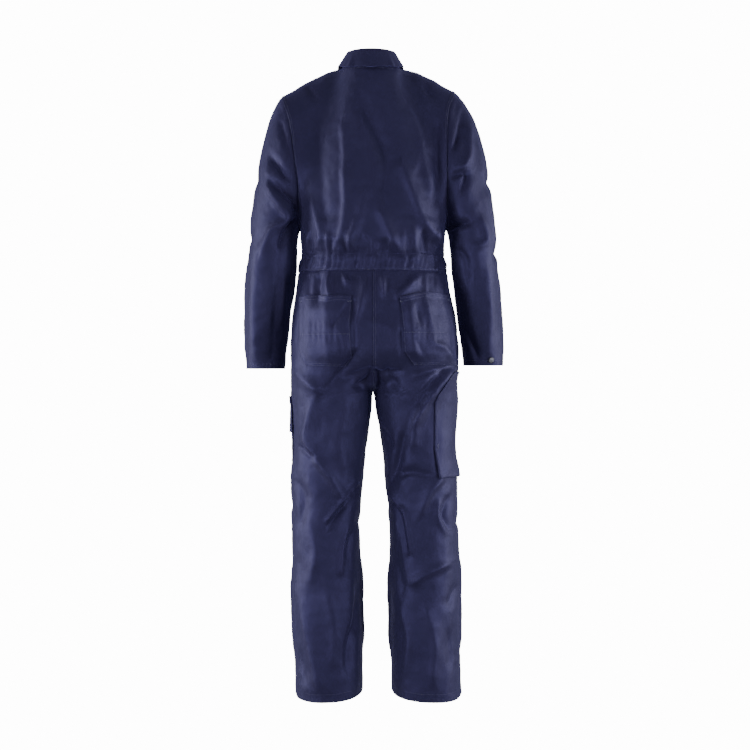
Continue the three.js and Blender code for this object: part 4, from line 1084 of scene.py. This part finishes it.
for name, panel in panels.items():
    make_cloth(
        name,
        panel["points"],
        panel["normal"],
        [name],
        cut=panel["base"],
        centre=panel["base"].shape[1] // 2 if panel["side"] == 0 else panel["base"].shape[1] - 1,
    )


# Pieces laid on the panels follow the finished cloth below them
LAY = 0.3


def tree_of(names):
    """A search tree over the outer faces of the named panels."""
    vertices = []
    faces = []
    for name in names:
        points = panels[name]["points"]
        rows, columns = points.shape[:2]
        start = len(vertices)
        vertices.extend(points.reshape(-1, 3).tolist())
        index = start + np.arange(rows * columns).reshape(rows, columns)
        quads = np.stack([index[:-1, :-1], index[:-1, 1:], index[1:, 1:], index[1:, :-1]], axis=-1)
        faces.extend(quads.reshape(-1, 4).tolist())
    return BVHTree.FromPolygons(vertices, faces)


def back_places(tree, across, height):
    """Where a line of sight from straight behind meets the cloth, and the cloth's direction there."""
    points = np.empty(across.shape + (3,))
    normals = np.empty_like(points)
    for index in np.ndindex(across.shape):
        start = Vector((across[index], -600, height[index]))
        hit, normal, _, _ = tree.ray_cast(start, Vector((0, 1, 0)))
        if hit is None:
            hit, normal, _, _ = tree.find_nearest(Vector((across[index], -60, height[index])))
        if normal.y > 0:
            normal = -normal
        points[index] = hit
        normals[index] = normal
    return points, normals


def smooth_grid(values, times=3):
    for _ in range(times):
        wide = np.pad(values, ((1, 1), (1, 1), (0, 0)), mode="edge")
        values = (wide[:-2, 1:-1] + wide[2:, 1:-1] + wide[1:-1, :-2] + wide[1:-1, 2:] + 2 * values) / 6
    return values


def unit(vectors):
    return vectors / np.maximum(np.linalg.norm(vectors, axis=-1, keepdims=True), 1e-9)


# Back pockets: the width at each height from the top edge down, with cut-off lower corners
BACK_POCKETS = {
    "left": [
        dict(z=-565, low=-174, high=-50),
        dict(z=-640, low=-174, high=-54),
        dict(z=-694, low=-174, high=-51),
        dict(z=-708, low=-168, high=-50),
        dict(z=-731, low=-157, high=-64),
    ],
    "right": [
        dict(z=-560, low=62, high=180),
        dict(z=-640, low=72, high=193),
        dict(z=-696, low=74, high=196),
        dict(z=-700, low=77, high=196),
        dict(z=-728, low=97, high=197),
    ],
}
# The right pocket's top edge rises towards the side: across, and lift above its corner
RIGHT_TOP = [dict(x=62, rise=-7), dict(x=98, rise=0), dict(x=122, rise=3), dict(x=180, rise=1)]


def straight_line(table, key, column, place):
    rows = sorted(table, key=lambda row: row[key])
    return np.interp(place, [row[key] for row in rows], [row[column] for row in rows])


# The height of the stitch line across the middle of each back pocket
MIDDLE_STITCH_Z = -650

# Creases of the back pockets' own cloth: path of across and height, width and depth
POCKET_CREASES = {
    "left": [
        ([[-64, -584], [-78, -604], [-97, -632]], 4.5, -3.2),
        ([[-112, -562], [-110, -600], [-108, -644]], 15, 3),
        ([[-114, -660], [-106, -722]], 12, 2.4),
        ([[-78, -660], [-74, -700]], 5, -1.8),
        ([[-64, -664], [-62, -696]], 4, -1.6),
    ],
    "right": [
        ([[122, -560], [132, -600], [141, -640]], 7, 4.2),
        ([[142, -652], [146, -674], [168, -684], [194, -714]], 9, 3.6),
        ([[150, -562], [156, -610]], 9, -2.4),
        ([[84, -572], [92, -640], [102, -694]], 13, 4),
        ([[104, -584], [112, -626]], 5, -2.4),
        ([[100, -664], [120, -700]], 7, -1.8),
    ],
}


def back_pocket(side):
    word = side_name(side)
    table = BACK_POCKETS[word]
    top, bottom = table[0]["z"], table[-1]["z"]
    rows = np.concatenate([[top, top - 1.2, top - 12], np.linspace(top - 14, bottom + 1.5, 46), [bottom]])
    share = np.concatenate([[0, 0.012], np.linspace(0.03, 0.97, 36), [0.988, 1]])
    low = straight_line(table, "z", "low", rows)[:, None]
    high = straight_line(table, "z", "high", rows)[:, None]
    across = mix(low, high, share[None, :])
    height = np.broadcast_to(rows[:, None], across.shape).copy()
    if side > 0:
        height += straight_line(RIGHT_TOP, "x", "rise", across) * ease(-620, top, height)
    points, normals = back_places(tree_of([f"back_leg_{word}", "back_waist_casing"]), across, height)
    normals = unit(smooth_grid(normals, 6))
    from_top = top - rows[:, None]
    from_side = np.minimum(across - low, high - across)
    held = ease(0, 26, from_side) * ease(0, 30, rows[:, None] - bottom)
    pouch = 4.5 * held * ease(0, 40, from_top)
    gape = 3.4 * (1 - ease(0, 60, from_top)) * ease(0, 22, from_side)
    if side > 0:
        gape = gape * 1.7 * ease(0, 40, high - across)
    crease = 0.8 * np.sin(across / 31 + rows[:, None] / 44 + side) * held
    for path, width, depth in POCKET_CREASES[word]:
        fold = ("body", "back", path, width, depth, 0)
        drawn = fold_height(fold, points.reshape(-1, 3), normals.reshape(-1, 3))
        crease += drawn.reshape(across.shape) * ease(0, 8, from_side)
    middle = np.abs(height - MIDDLE_STITCH_Z)
    crease += 0.55 * np.sin(across * 2 * math.pi / 12.5) * ease(1, 5, middle) * (1 - ease(8, 34, middle)) * held
    hem = 0.8 * (1 - ease(11.5, 13, from_top))
    edge = 0.9 * (1 - ease(3.4, 4.8, from_side))
    lift = LAY + DRILL + 1.1 + pouch + gape + crease + hem + edge
    return points + normals * lift[..., None], normals


laid = {}


def lay(name, points, normals, node_name, thickness=DRILL):
    laid[name] = dict(points=points, normal=normals)
    return make_cloth(name, points, normals, [node_name], thickness=thickness, centre=points.shape[1] // 2)


for side in (-1, 1):
    name = f"back_pocket_{side_name(side)}"
    lay(name, *back_pocket(side), name)


def joined_rows(first, second, rows, back_edge, front_edge, count):
    """A strip over the seam where the first columns of two leg panels meet.

    rows are the heights, and back_edge and front_edge give how far it reaches at each from the seam.
    """
    a, b = panels[first], panels[second]
    heights = a["base"][:, 0, 2]
    seam = a["points"].shape[1] - 1
    points, normals = [], []
    for z in rows:
        above = min(int(np.searchsorted(-heights, -z)), len(heights) - 1)
        below = max(above - 1, 0)
        gap = heights[below] - heights[above]
        f = (heights[below] - z) / gap if gap > 0 else 0
        line, turn = (
            mix(
                np.concatenate([a[key][below, ::-1], b[key][below, 1:]]),
                np.concatenate([a[key][above, ::-1], b[key][above, 1:]]),
                f,
            )
            for key in ("points", "normal")
        )
        length = lengths_along(line, 0)
        length -= length[seam]
        low = back_edge(z, line, length, seam)
        place = np.linspace(low, front_edge(z), count)
        points.append(np.stack([np.interp(place, length, line[:, k]) for k in range(3)], axis=-1))
        normals.append(np.stack([np.interp(place, length, turn[:, k]) for k in range(3)], axis=-1))
    return np.array(points), unit(np.array(normals))


def reach_to_x(table):
    """A back edge that lies at a set distance from the centre of the body at each height."""

    def back_edge(z, line, length, seam):
        x = straight_line(table, "z", "x", z)
        back = slice(0, seam + 1)
        return float(np.interp(x, np.abs(line[back, 0]), length[back]))

    return back_edge


def edge_distances(points):
    """Cloth distances from the first and last column and from the first and last row."""
    across = lengths_along(points, 1)
    down = lengths_along(points, 0)
    return across, across[:, -1:] - across, down, down[-1:] - down


def band(distance, width, height):
    """A turned edge, which stands up by one more layer."""
    return height * (1 - ease(width - 0.8, width + 0.4, distance))


# The right thigh pocket is long and narrow. Its lower part hangs free of the leg.
RULE_POCKET_EDGE = [
    dict(z=-744, x=194),
    dict(z=-772, x=174),
    dict(z=-800, x=154),
    dict(z=-820, x=146),
    dict(z=-930, x=146),
    dict(z=-998, x=156),
]
rows = np.linspace(-998, -744, 60)
points, normals = joined_rows("back_leg_right", "front_leg_right", rows, reach_to_x(RULE_POCKET_EDGE),
                              lambda z: 26, 36)
from_back, from_front, from_top, from_bottom = edge_distances(points[::-1])
from_back, from_front, from_top, from_bottom = (
    part[::-1] for part in (from_back, from_front, from_top, from_bottom)
)
free = 1 - ease(-998, -900, points[..., 2])
sag = np.sin(from_top / 26 + from_back / 30) * ease(0, 20, from_back)
lift = LAY + DRILL + 0.8 + 4 * free + 1.6 * sag
lift += band(from_top, 12, 0.8) + band(from_back, 5, 0.5)
lay("thigh_pocket_right", points + normals * lift[..., None], normals, "thigh_pocket_right")

# The left thigh pocket lies forward of the side seam, under a flap
rows = np.linspace(-961, -812, 36)
points, normals = joined_rows("back_leg_left", "front_leg_left", rows, lambda *row: -22, lambda z: 104, 32)
from_back, from_front, from_bottom, from_top = edge_distances(points)
inside = np.minimum(np.minimum(from_back, from_front), from_bottom)
pouch = 4 * ease(0, 34, inside) + 1.2 * np.sin(from_back / 17 + from_top / 29) * ease(0, 30, inside)
lift = LAY + DRILL + pouch + band(inside, 4, 0.5)
lay("thigh_pocket_left", points + normals * lift[..., None], normals, "thigh_pocket_left")

rows = np.linspace(-891, -803, 24)
points, normals = joined_rows("back_leg_left", "front_leg_left", rows, lambda *row: -23, lambda z: 106, 32)
from_back, from_front, from_bottom, from_top = edge_distances(points)
below = ease(0, 40, np.minimum(from_back, from_front)) * ease(8, 40, from_top)
lift = LAY + 2 * DRILL + 1.2 + 5 * below + 1.6 * ease(20, 80, from_top) + band(from_bottom, 7, 0.5)
lay("thigh_flap_left", points + normals * lift[..., None], normals, "thigh_flap_left", 2.2)


def placket_strip():
    """The strip over the centre front, from the neck to the foot of the fly."""
    points, normals = [], []
    place = np.concatenate([[-24, -23, -18, -17], np.linspace(-15, 15, 13), [17, 18, 23, 24]])
    for pair, lowest in (("front_bodice", WAIST_SEAM_Z), ("front_leg", -700)):
        left, right = panels[f"{pair}_left"], panels[f"{pair}_right"]
        order = range(left["points"].shape[0])
        if pair == "front_bodice":
            order = reversed(order)
        for r in order:
            other = min(r, right["points"].shape[0] - 1)
            line = np.concatenate([left["points"][r], right["points"][other, -2::-1]])
            turn = np.concatenate([left["normal"][r], right["normal"][other, -2::-1]])
            length = lengths_along(line, 0)
            length -= length[left["points"].shape[1] - 1]
            middle = left["points"][r, -1]
            if middle[2] < lowest or (points and middle[2] > points[-1][8][2] - 1.5):
                continue
            points.append(np.stack([np.interp(place, length, line[:, k]) for k in range(3)], axis=-1))
            normals.append(np.stack([np.interp(place, length, turn[:, k]) for k in range(3)], axis=-1))
    return smooth_grid(np.array(points), 2), unit(np.array(normals))


points, normals = placket_strip()
from_left, from_right, from_top, from_bottom = edge_distances(points)
lift = LAY + 2.3 + 0.5 * np.sin(from_top / 37) + band(from_right, 2, 0.3)
lay("front_placket", points + normals * lift[..., None], normals, "front_placket", 2.2)

# The collar: a stand from the neck seam to the fold, and a fall from the fold to the free edge.
# place is 0 at the centre back, 1 at the shoulder and 2 at the centre front.
COLLAR = [
    dict(place=0, stand_in=9, stand_up=28, fall_out=25, fall_down=48),
    dict(place=0.5, stand_in=12, stand_up=30, fall_out=30, fall_down=43),
    dict(place=1, stand_in=20, stand_up=38, fall_out=30, fall_down=36),
    dict(place=1.5, stand_in=8, stand_up=28, fall_out=43, fall_down=40),
    dict(place=1.96, stand_in=6, stand_up=20, fall_out=41, fall_down=56),
]
COLLAR_END = 1.94


def collar_grid(columns=150, rows=30):
    points = np.empty((rows, columns, 3))
    for c in range(columns):
        turn = c / (columns - 1) * 2 - 1
        side = -1 if turn < 0 else 1
        place = abs(turn) * COLLAR_END
        stand_in, stand_up, fall_out, fall_down = (
            float(line_through(COLLAR, "place", column)(place))
            for column in ("stand_in", "stand_up", "fall_out", "fall_down")
        )
        if place <= 1:
            foot = neck_point(side, -1, np.array(1 - place))
        else:
            foot = neck_point(side, 1, np.array(place - 1))
        out = foot - [NECK_X, SHOULDER_Y, foot[2]]
        out /= np.linalg.norm(out)
        up = np.array([0, 0, 1.0])
        wave = 1.6 * math.sin(turn * 9.2 + 0.5) + 1.1 * math.sin(turn * 17 + 1)
        for crease, height in ((-0.21, 3.4), (-0.165, -1.2), (0.2, 3.2), (0.245, -1.2)):
            wave += height * math.exp(-(((turn - crease) / 0.026) ** 2))
        profile = [
            [-2.2, 1],
            [-stand_in * 0.6, stand_up * 0.5],
            [-stand_in, stand_up - 4],
            [-stand_in + 4, stand_up],
            [-stand_in + 9, stand_up - 4],
            [-stand_in + 9 + (fall_out - 9) * 0.5, stand_up - 4 - (fall_down - 4) * 0.5],
            [-stand_in + 9 + fall_out - 9 + wave * 0.4, stand_up - fall_down],
        ]
        line = smooth_path(profile, 10)
        length = lengths_along(line, 0)
        at = np.concatenate([np.linspace(0, length[-1] - 0.9, rows - 2), [length[-1] - 0.35, length[-1]]])
        outward = np.interp(at, length, line[:, 0])
        upward = np.interp(at, length, line[:, 1])
        fall = ease(0.45, 1, at / length[-1])
        outward = outward + wave * fall * 0.8
        points[:, c] = foot + out * outward[:, None] + up * upward[:, None]
    return points


points = collar_grid()
across_rows = np.gradient(points, axis=1)
down_rows = np.gradient(points, axis=0)
normals = unit(np.cross(across_rows, down_rows))
middle = normals[-1, normals.shape[1] // 2]
if middle[1] > 0:
    normals = -normals
laid["collar"] = dict(points=points, normal=normals)
make_cloth("collar", points, normals, ["collar"], thickness=COLLAR_DRILL, centre=75)

# Stitches: low lozenges of thread along each sewn line
STITCH_PITCH = 3.4
stitch_lines = {}


def line_inside(points, normals, edge, inset, shift=0.0):
    """A line at a set cloth distance inside one edge of a grid, with the cloth's direction along it."""
    if edge in ("top", "bottom"):
        points, normals = points.transpose(1, 0, 2), normals.transpose(1, 0, 2)
    if edge in ("end", "bottom"):
        points, normals = points[:, ::-1], normals[:, ::-1]
    length = lengths_along(points, 1)
    place, turn = [], []
    for r in range(len(points)):
        place.append([np.interp(inset, length[r], points[r, :, k]) for k in range(3)])
        turn.append([np.interp(inset, length[r], normals[r, :, k]) for k in range(3)])
    return np.array(place), unit(np.array(turn))


def sew(piece, points, normals, edge, *insets):
    for inset in insets:
        stitch_lines.setdefault(piece, []).append(line_inside(points, normals, edge, inset))


def sew_panel(name, edge, *insets):
    sew(name, panels[name]["points"], panels[name]["normal"], edge, *insets)


def sew_laid(name, edge, *insets):
    """Sews one edge of a laid-on piece, on its own outer face."""
    sew(name, laid[name]["points"], laid[name]["normal"], edge, *insets)


def spaced(line, normals, pitch):
    length = lengths_along(line, 0)
    count = max(2, int(length[-1] / pitch))
    at = (np.arange(count) + 0.5) * length[-1] / count
    place = np.stack([np.interp(at, length, line[:, k]) for k in range(3)], axis=-1)
    turn = unit(np.stack([np.interp(at, length, normals[:, k]) for k in range(3)], axis=-1))
    ahead = np.stack([np.interp(at + 0.5, length, line[:, k]) for k in range(3)], axis=-1)
    return place, unit(ahead - place), turn


def lozenges(name, lines, long=2.5, wide=0.75, high=0.5, pitch=STITCH_PITCH):
    """One mesh of all the stitches of a piece."""
    corners, faces = [], []
    for line, normals in lines:
        place, along, turn = spaced(line, normals, pitch)
        side = unit(np.cross(turn, along))
        for p, a, s, n in zip(place, along, side, turn):
            k = len(corners)
            corners += [
                p - a * long / 2,
                p + s * wide / 2,
                p + a * long / 2,
                p - s * wide / 2,
                p + n * high,
                p - n * high * 0.4,
            ]
            for i in range(4):
                j = (i + 1) % 4
                faces.append((k + j, k + i, k + 4))
                faces.append((k + i, k + j, k + 5))
    mesh = bpy.data.meshes.new(name)
    mesh.from_pydata((np.array(corners) * MM).tolist(), [], faces)
    mesh.update()
    mesh.shade_smooth()
    mesh.materials.append(THREAD)
    thing = link(mesh, name)
    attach(thing, "root")
    return thing


for side in (-1, 1):
    word = side_name(side)
    sew_panel(f"back_leg_{word}", "start", 1.3, SEAM_WIDTH - 1.5)
    sew_panel(f"back_leg_{word}", "bottom", HEM_WIDTH)
    sew_panel(f"front_leg_{word}", "bottom", HEM_WIDTH)
    sew_panel(f"back_sleeve_{word}", "bottom", CUFF_WIDTH)
    sew_panel(f"front_sleeve_{word}", "bottom", CUFF_WIDTH)
    sew_panel(f"back_sleeve_{word}", "end", 1.3, SEAM_WIDTH - 1.5)
    sew_panel(f"front_bodice_{word}", "top", 6)
    sew_panel(f"front_leg_{word}", "top", 2)
    pocket = f"back_pocket_{word}"
    sew_laid(pocket, "top", 5, 12)
    sew_laid(pocket, "start", 2)
    sew_laid(pocket, "end", 2)
    sew_laid(pocket, "bottom", 2, 6.5)
sew_panel("back_leg_right", "end", 1.3, SEAM_WIDTH - 1.5)
sew_panel("front_leg_left", "end", 1.3, SEAM_WIDTH - 1.5)
sew_panel("back_bodice", "start", 1.3, SEAM_WIDTH - 1.5)
sew_panel("back_bodice", "end", 1.3, SEAM_WIDTH - 1.5)
sew_panel("back_waist_casing", "top", 3)
for edge in ("top", "bottom", "start"):
    sew_laid("thigh_pocket_right", edge, 2)
sew_laid("thigh_pocket_right", "start", 7)
for edge in ("bottom", "start", "end"):
    sew_laid("thigh_pocket_left", edge, 2)
    sew_laid("thigh_flap_left", edge, 2.5)
sew_laid("front_placket", "start", 3)
sew_laid("front_placket", "end", 3)
sew_laid("collar", "start", 4)
sew_laid("collar", "end", 4)


def yoke_seam_line():
    """The line of stitches below the collar, along the top of the back bodice."""
    panel = panels["back_bodice"]
    columns = panel["points"].shape[1]
    middle = slice(int(columns * 0.27), int(columns * 0.73))
    points, normals = line_inside(panel["points"], panel["normal"], "bottom", 21)
    return points[middle], normals[middle]


stitch_lines["back_bodice"].append(yoke_seam_line())

# Cross lines of stitches that divide each back pocket
for side, height in ((-1, -657), (1, -652)):
    pocket = laid[f"back_pocket_{side_name(side)}"]
    row = int(np.argmin(np.abs(pocket["points"][:, 20, 2] - height)))
    stitch_lines[f"back_pocket_{side_name(side)}"].append((pocket["points"][row, 1:-1], pocket["normal"][row, 1:-1]))

stitched = {name: lozenges(f"{name}_stitches", lines) for name, lines in stitch_lines.items()}


def bar_tack(piece, row_share, column_share, long, wide, turned=False):
    """A short dense bar of thread that holds a pocket corner."""
    source = laid[piece]
    rows, columns = source["points"].shape[:2]
    r = int(round(row_share * (rows - 1)))
    c = int(round(column_share * (columns - 1)))
    p, n = source["points"][r, c], source["normal"][r, c]
    along = unit(np.cross(n, [0, 0, 1.0])) if not turned else unit(np.cross(np.cross(n, [0, 0, 1.0]), n))
    step = unit(np.cross(n, along))
    lines = []
    for k in np.linspace(-long / 2, long / 2, max(3, int(long / 0.9))):
        line = np.array([p + along * k - step * wide / 2, p + along * k + step * wide / 2])
        lines.append((line + n * 0.25, np.array([n, n])))
    return lines


tacks = []
for piece, row, column, turned in (
    ("back_pocket_left", 0.06, 0.06, False),
    ("back_pocket_left", 0.06, 0.94, False),
    ("back_pocket_right", 0.06, 0.06, False),
    ("back_pocket_right", 0.06, 0.94, False),
    ("thigh_pocket_right", 0.3, 0.05, True),
    ("thigh_pocket_right", 0.94, 0.05, False),
    ("thigh_flap_left", 0.95, 0.05, False),
    ("thigh_flap_left", 0.95, 0.95, False),
):
    tacks += bar_tack(piece, row, column, 9, 2.4, turned)
bar_tacks = lozenges("bar_tacks", tacks, 2.6, 0.9, 0.55, 2.4)

# Studs keep their solids and take a nickel finish
STUDS = [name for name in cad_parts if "stud" in name]
for name in STUDS:
    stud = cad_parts[name]
    stud.data.materials.clear()
    stud.data.materials.append(NICKEL)

# A plain pale floor that sweeps up all round, and soft studio light
FLOOR_Z = -1.62
FLOOR_RADIUS = 6
SWEEP_RADIUS = 1
WALL_TOP_Z = 6


def pale_surround():
    """A floor that curves up into a round wall, lit evenly so that it reads as plain white."""
    profile = [(0, FLOOR_Z), (FLOOR_RADIUS, FLOOR_Z)]
    for degrees in range(10, 91, 10):
        turn = math.radians(degrees)
        out = FLOOR_RADIUS + SWEEP_RADIUS * math.sin(turn)
        profile.append((out, FLOOR_Z + SWEEP_RADIUS * (1 - math.cos(turn))))
    profile.append((FLOOR_RADIUS + SWEEP_RADIUS, WALL_TOP_Z))
    bm = bmesh.new()
    line = [bm.verts.new((x, 0, z)) for x, z in profile]
    for first, second in zip(line, line[1:]):
        bm.edges.new((first, second))
    bmesh.ops.spin(
        bm,
        geom=bm.verts[:] + bm.edges[:],
        cent=(0, 0, 0),
        axis=(0, 0, 1),
        angle=2 * math.pi,
        steps=64,
        use_merge=True,
    )
    bmesh.ops.remove_doubles(bm, verts=bm.verts[:], dist=0.0001)
    mesh = bpy.data.meshes.new("pale_floor")
    bm.to_mesh(mesh)
    bm.free()
    mesh.shade_smooth()
    surround = link(mesh, "pale_floor")
    material, tree = new_material("pale_floor")
    light = node(tree, "ShaderNodeEmission", None, Color=(1, 1, 1, 1), Strength=14.0)
    out = node(tree, "ShaderNodeOutputMaterial")
    tree.links.new(light.outputs[0], out.inputs[0])
    mesh.materials.append(material)
    surround.visible_diffuse = False
    surround.visible_glossy = False
    surround.visible_shadow = False
    return surround


pale_surround()


def soft_light(name, place, target, size, power, tint="#FFFFFF"):
    data = bpy.data.lights.new(name, "AREA")
    data.shape = "RECTANGLE"
    data.size, data.size_y = size
    data.energy = power
    data.color = colour(tint)[:3]
    light = bpy.data.objects.new(name, data)
    bpy.context.scene.collection.objects.link(light)
    light.location = place
    light.rotation_euler = (Vector(target) - Vector(place)).to_track_quat("-Z", "Y").to_euler()
    return light


MIDDLE = (0, 0, -0.8)
LOW = (0, 0, -1.0)
soft_light("left_edge", (-3.4, 0.1, -0.5), MIDDLE, (0.9, 2.4), 110)
soft_light("right_edge", (3.4, 0.2, -0.4), MIDDLE, (0.9, 2.4), 88)
soft_light("left_softbox", (-2.6, -2.1, -1.08), LOW, (0.9, 1.5), 68)
soft_light("right_softbox", (2.8, -1.8, -1.02), LOW, (0.9, 1.5), 58)
soft_light("low_fill", (0.3, -4.2, -1.5), LOW, (2.4, 0.5), 25)
soft_light("front_fill", (-0.4, -4.6, -0.3), MIDDLE, (2.0, 0.8), 13)
soft_light("top_fill", (0.5, -2.4, 2.2), MIDDLE, (1.6, 0.8), 14)

world = bpy.data.worlds.new("studio")
bpy.context.scene.world = world
world.use_nodes = True
world.node_tree.nodes["Background"].inputs[0].default_value = (1, 1, 1, 1)
world.node_tree.nodes["Background"].inputs[1].default_value = 0.2

camera = bpy.data.objects.new("camera", bpy.data.cameras.new("camera"))
bpy.context.scene.collection.objects.link(camera)
camera.location = (0.005, -EYE_DISTANCE * MM, EYE_Z * MM)
camera.rotation_euler = (math.pi / 2, 0, 0)
camera.data.sensor_width = 36
camera.data.lens = 78.7
bpy.context.scene.camera = camera
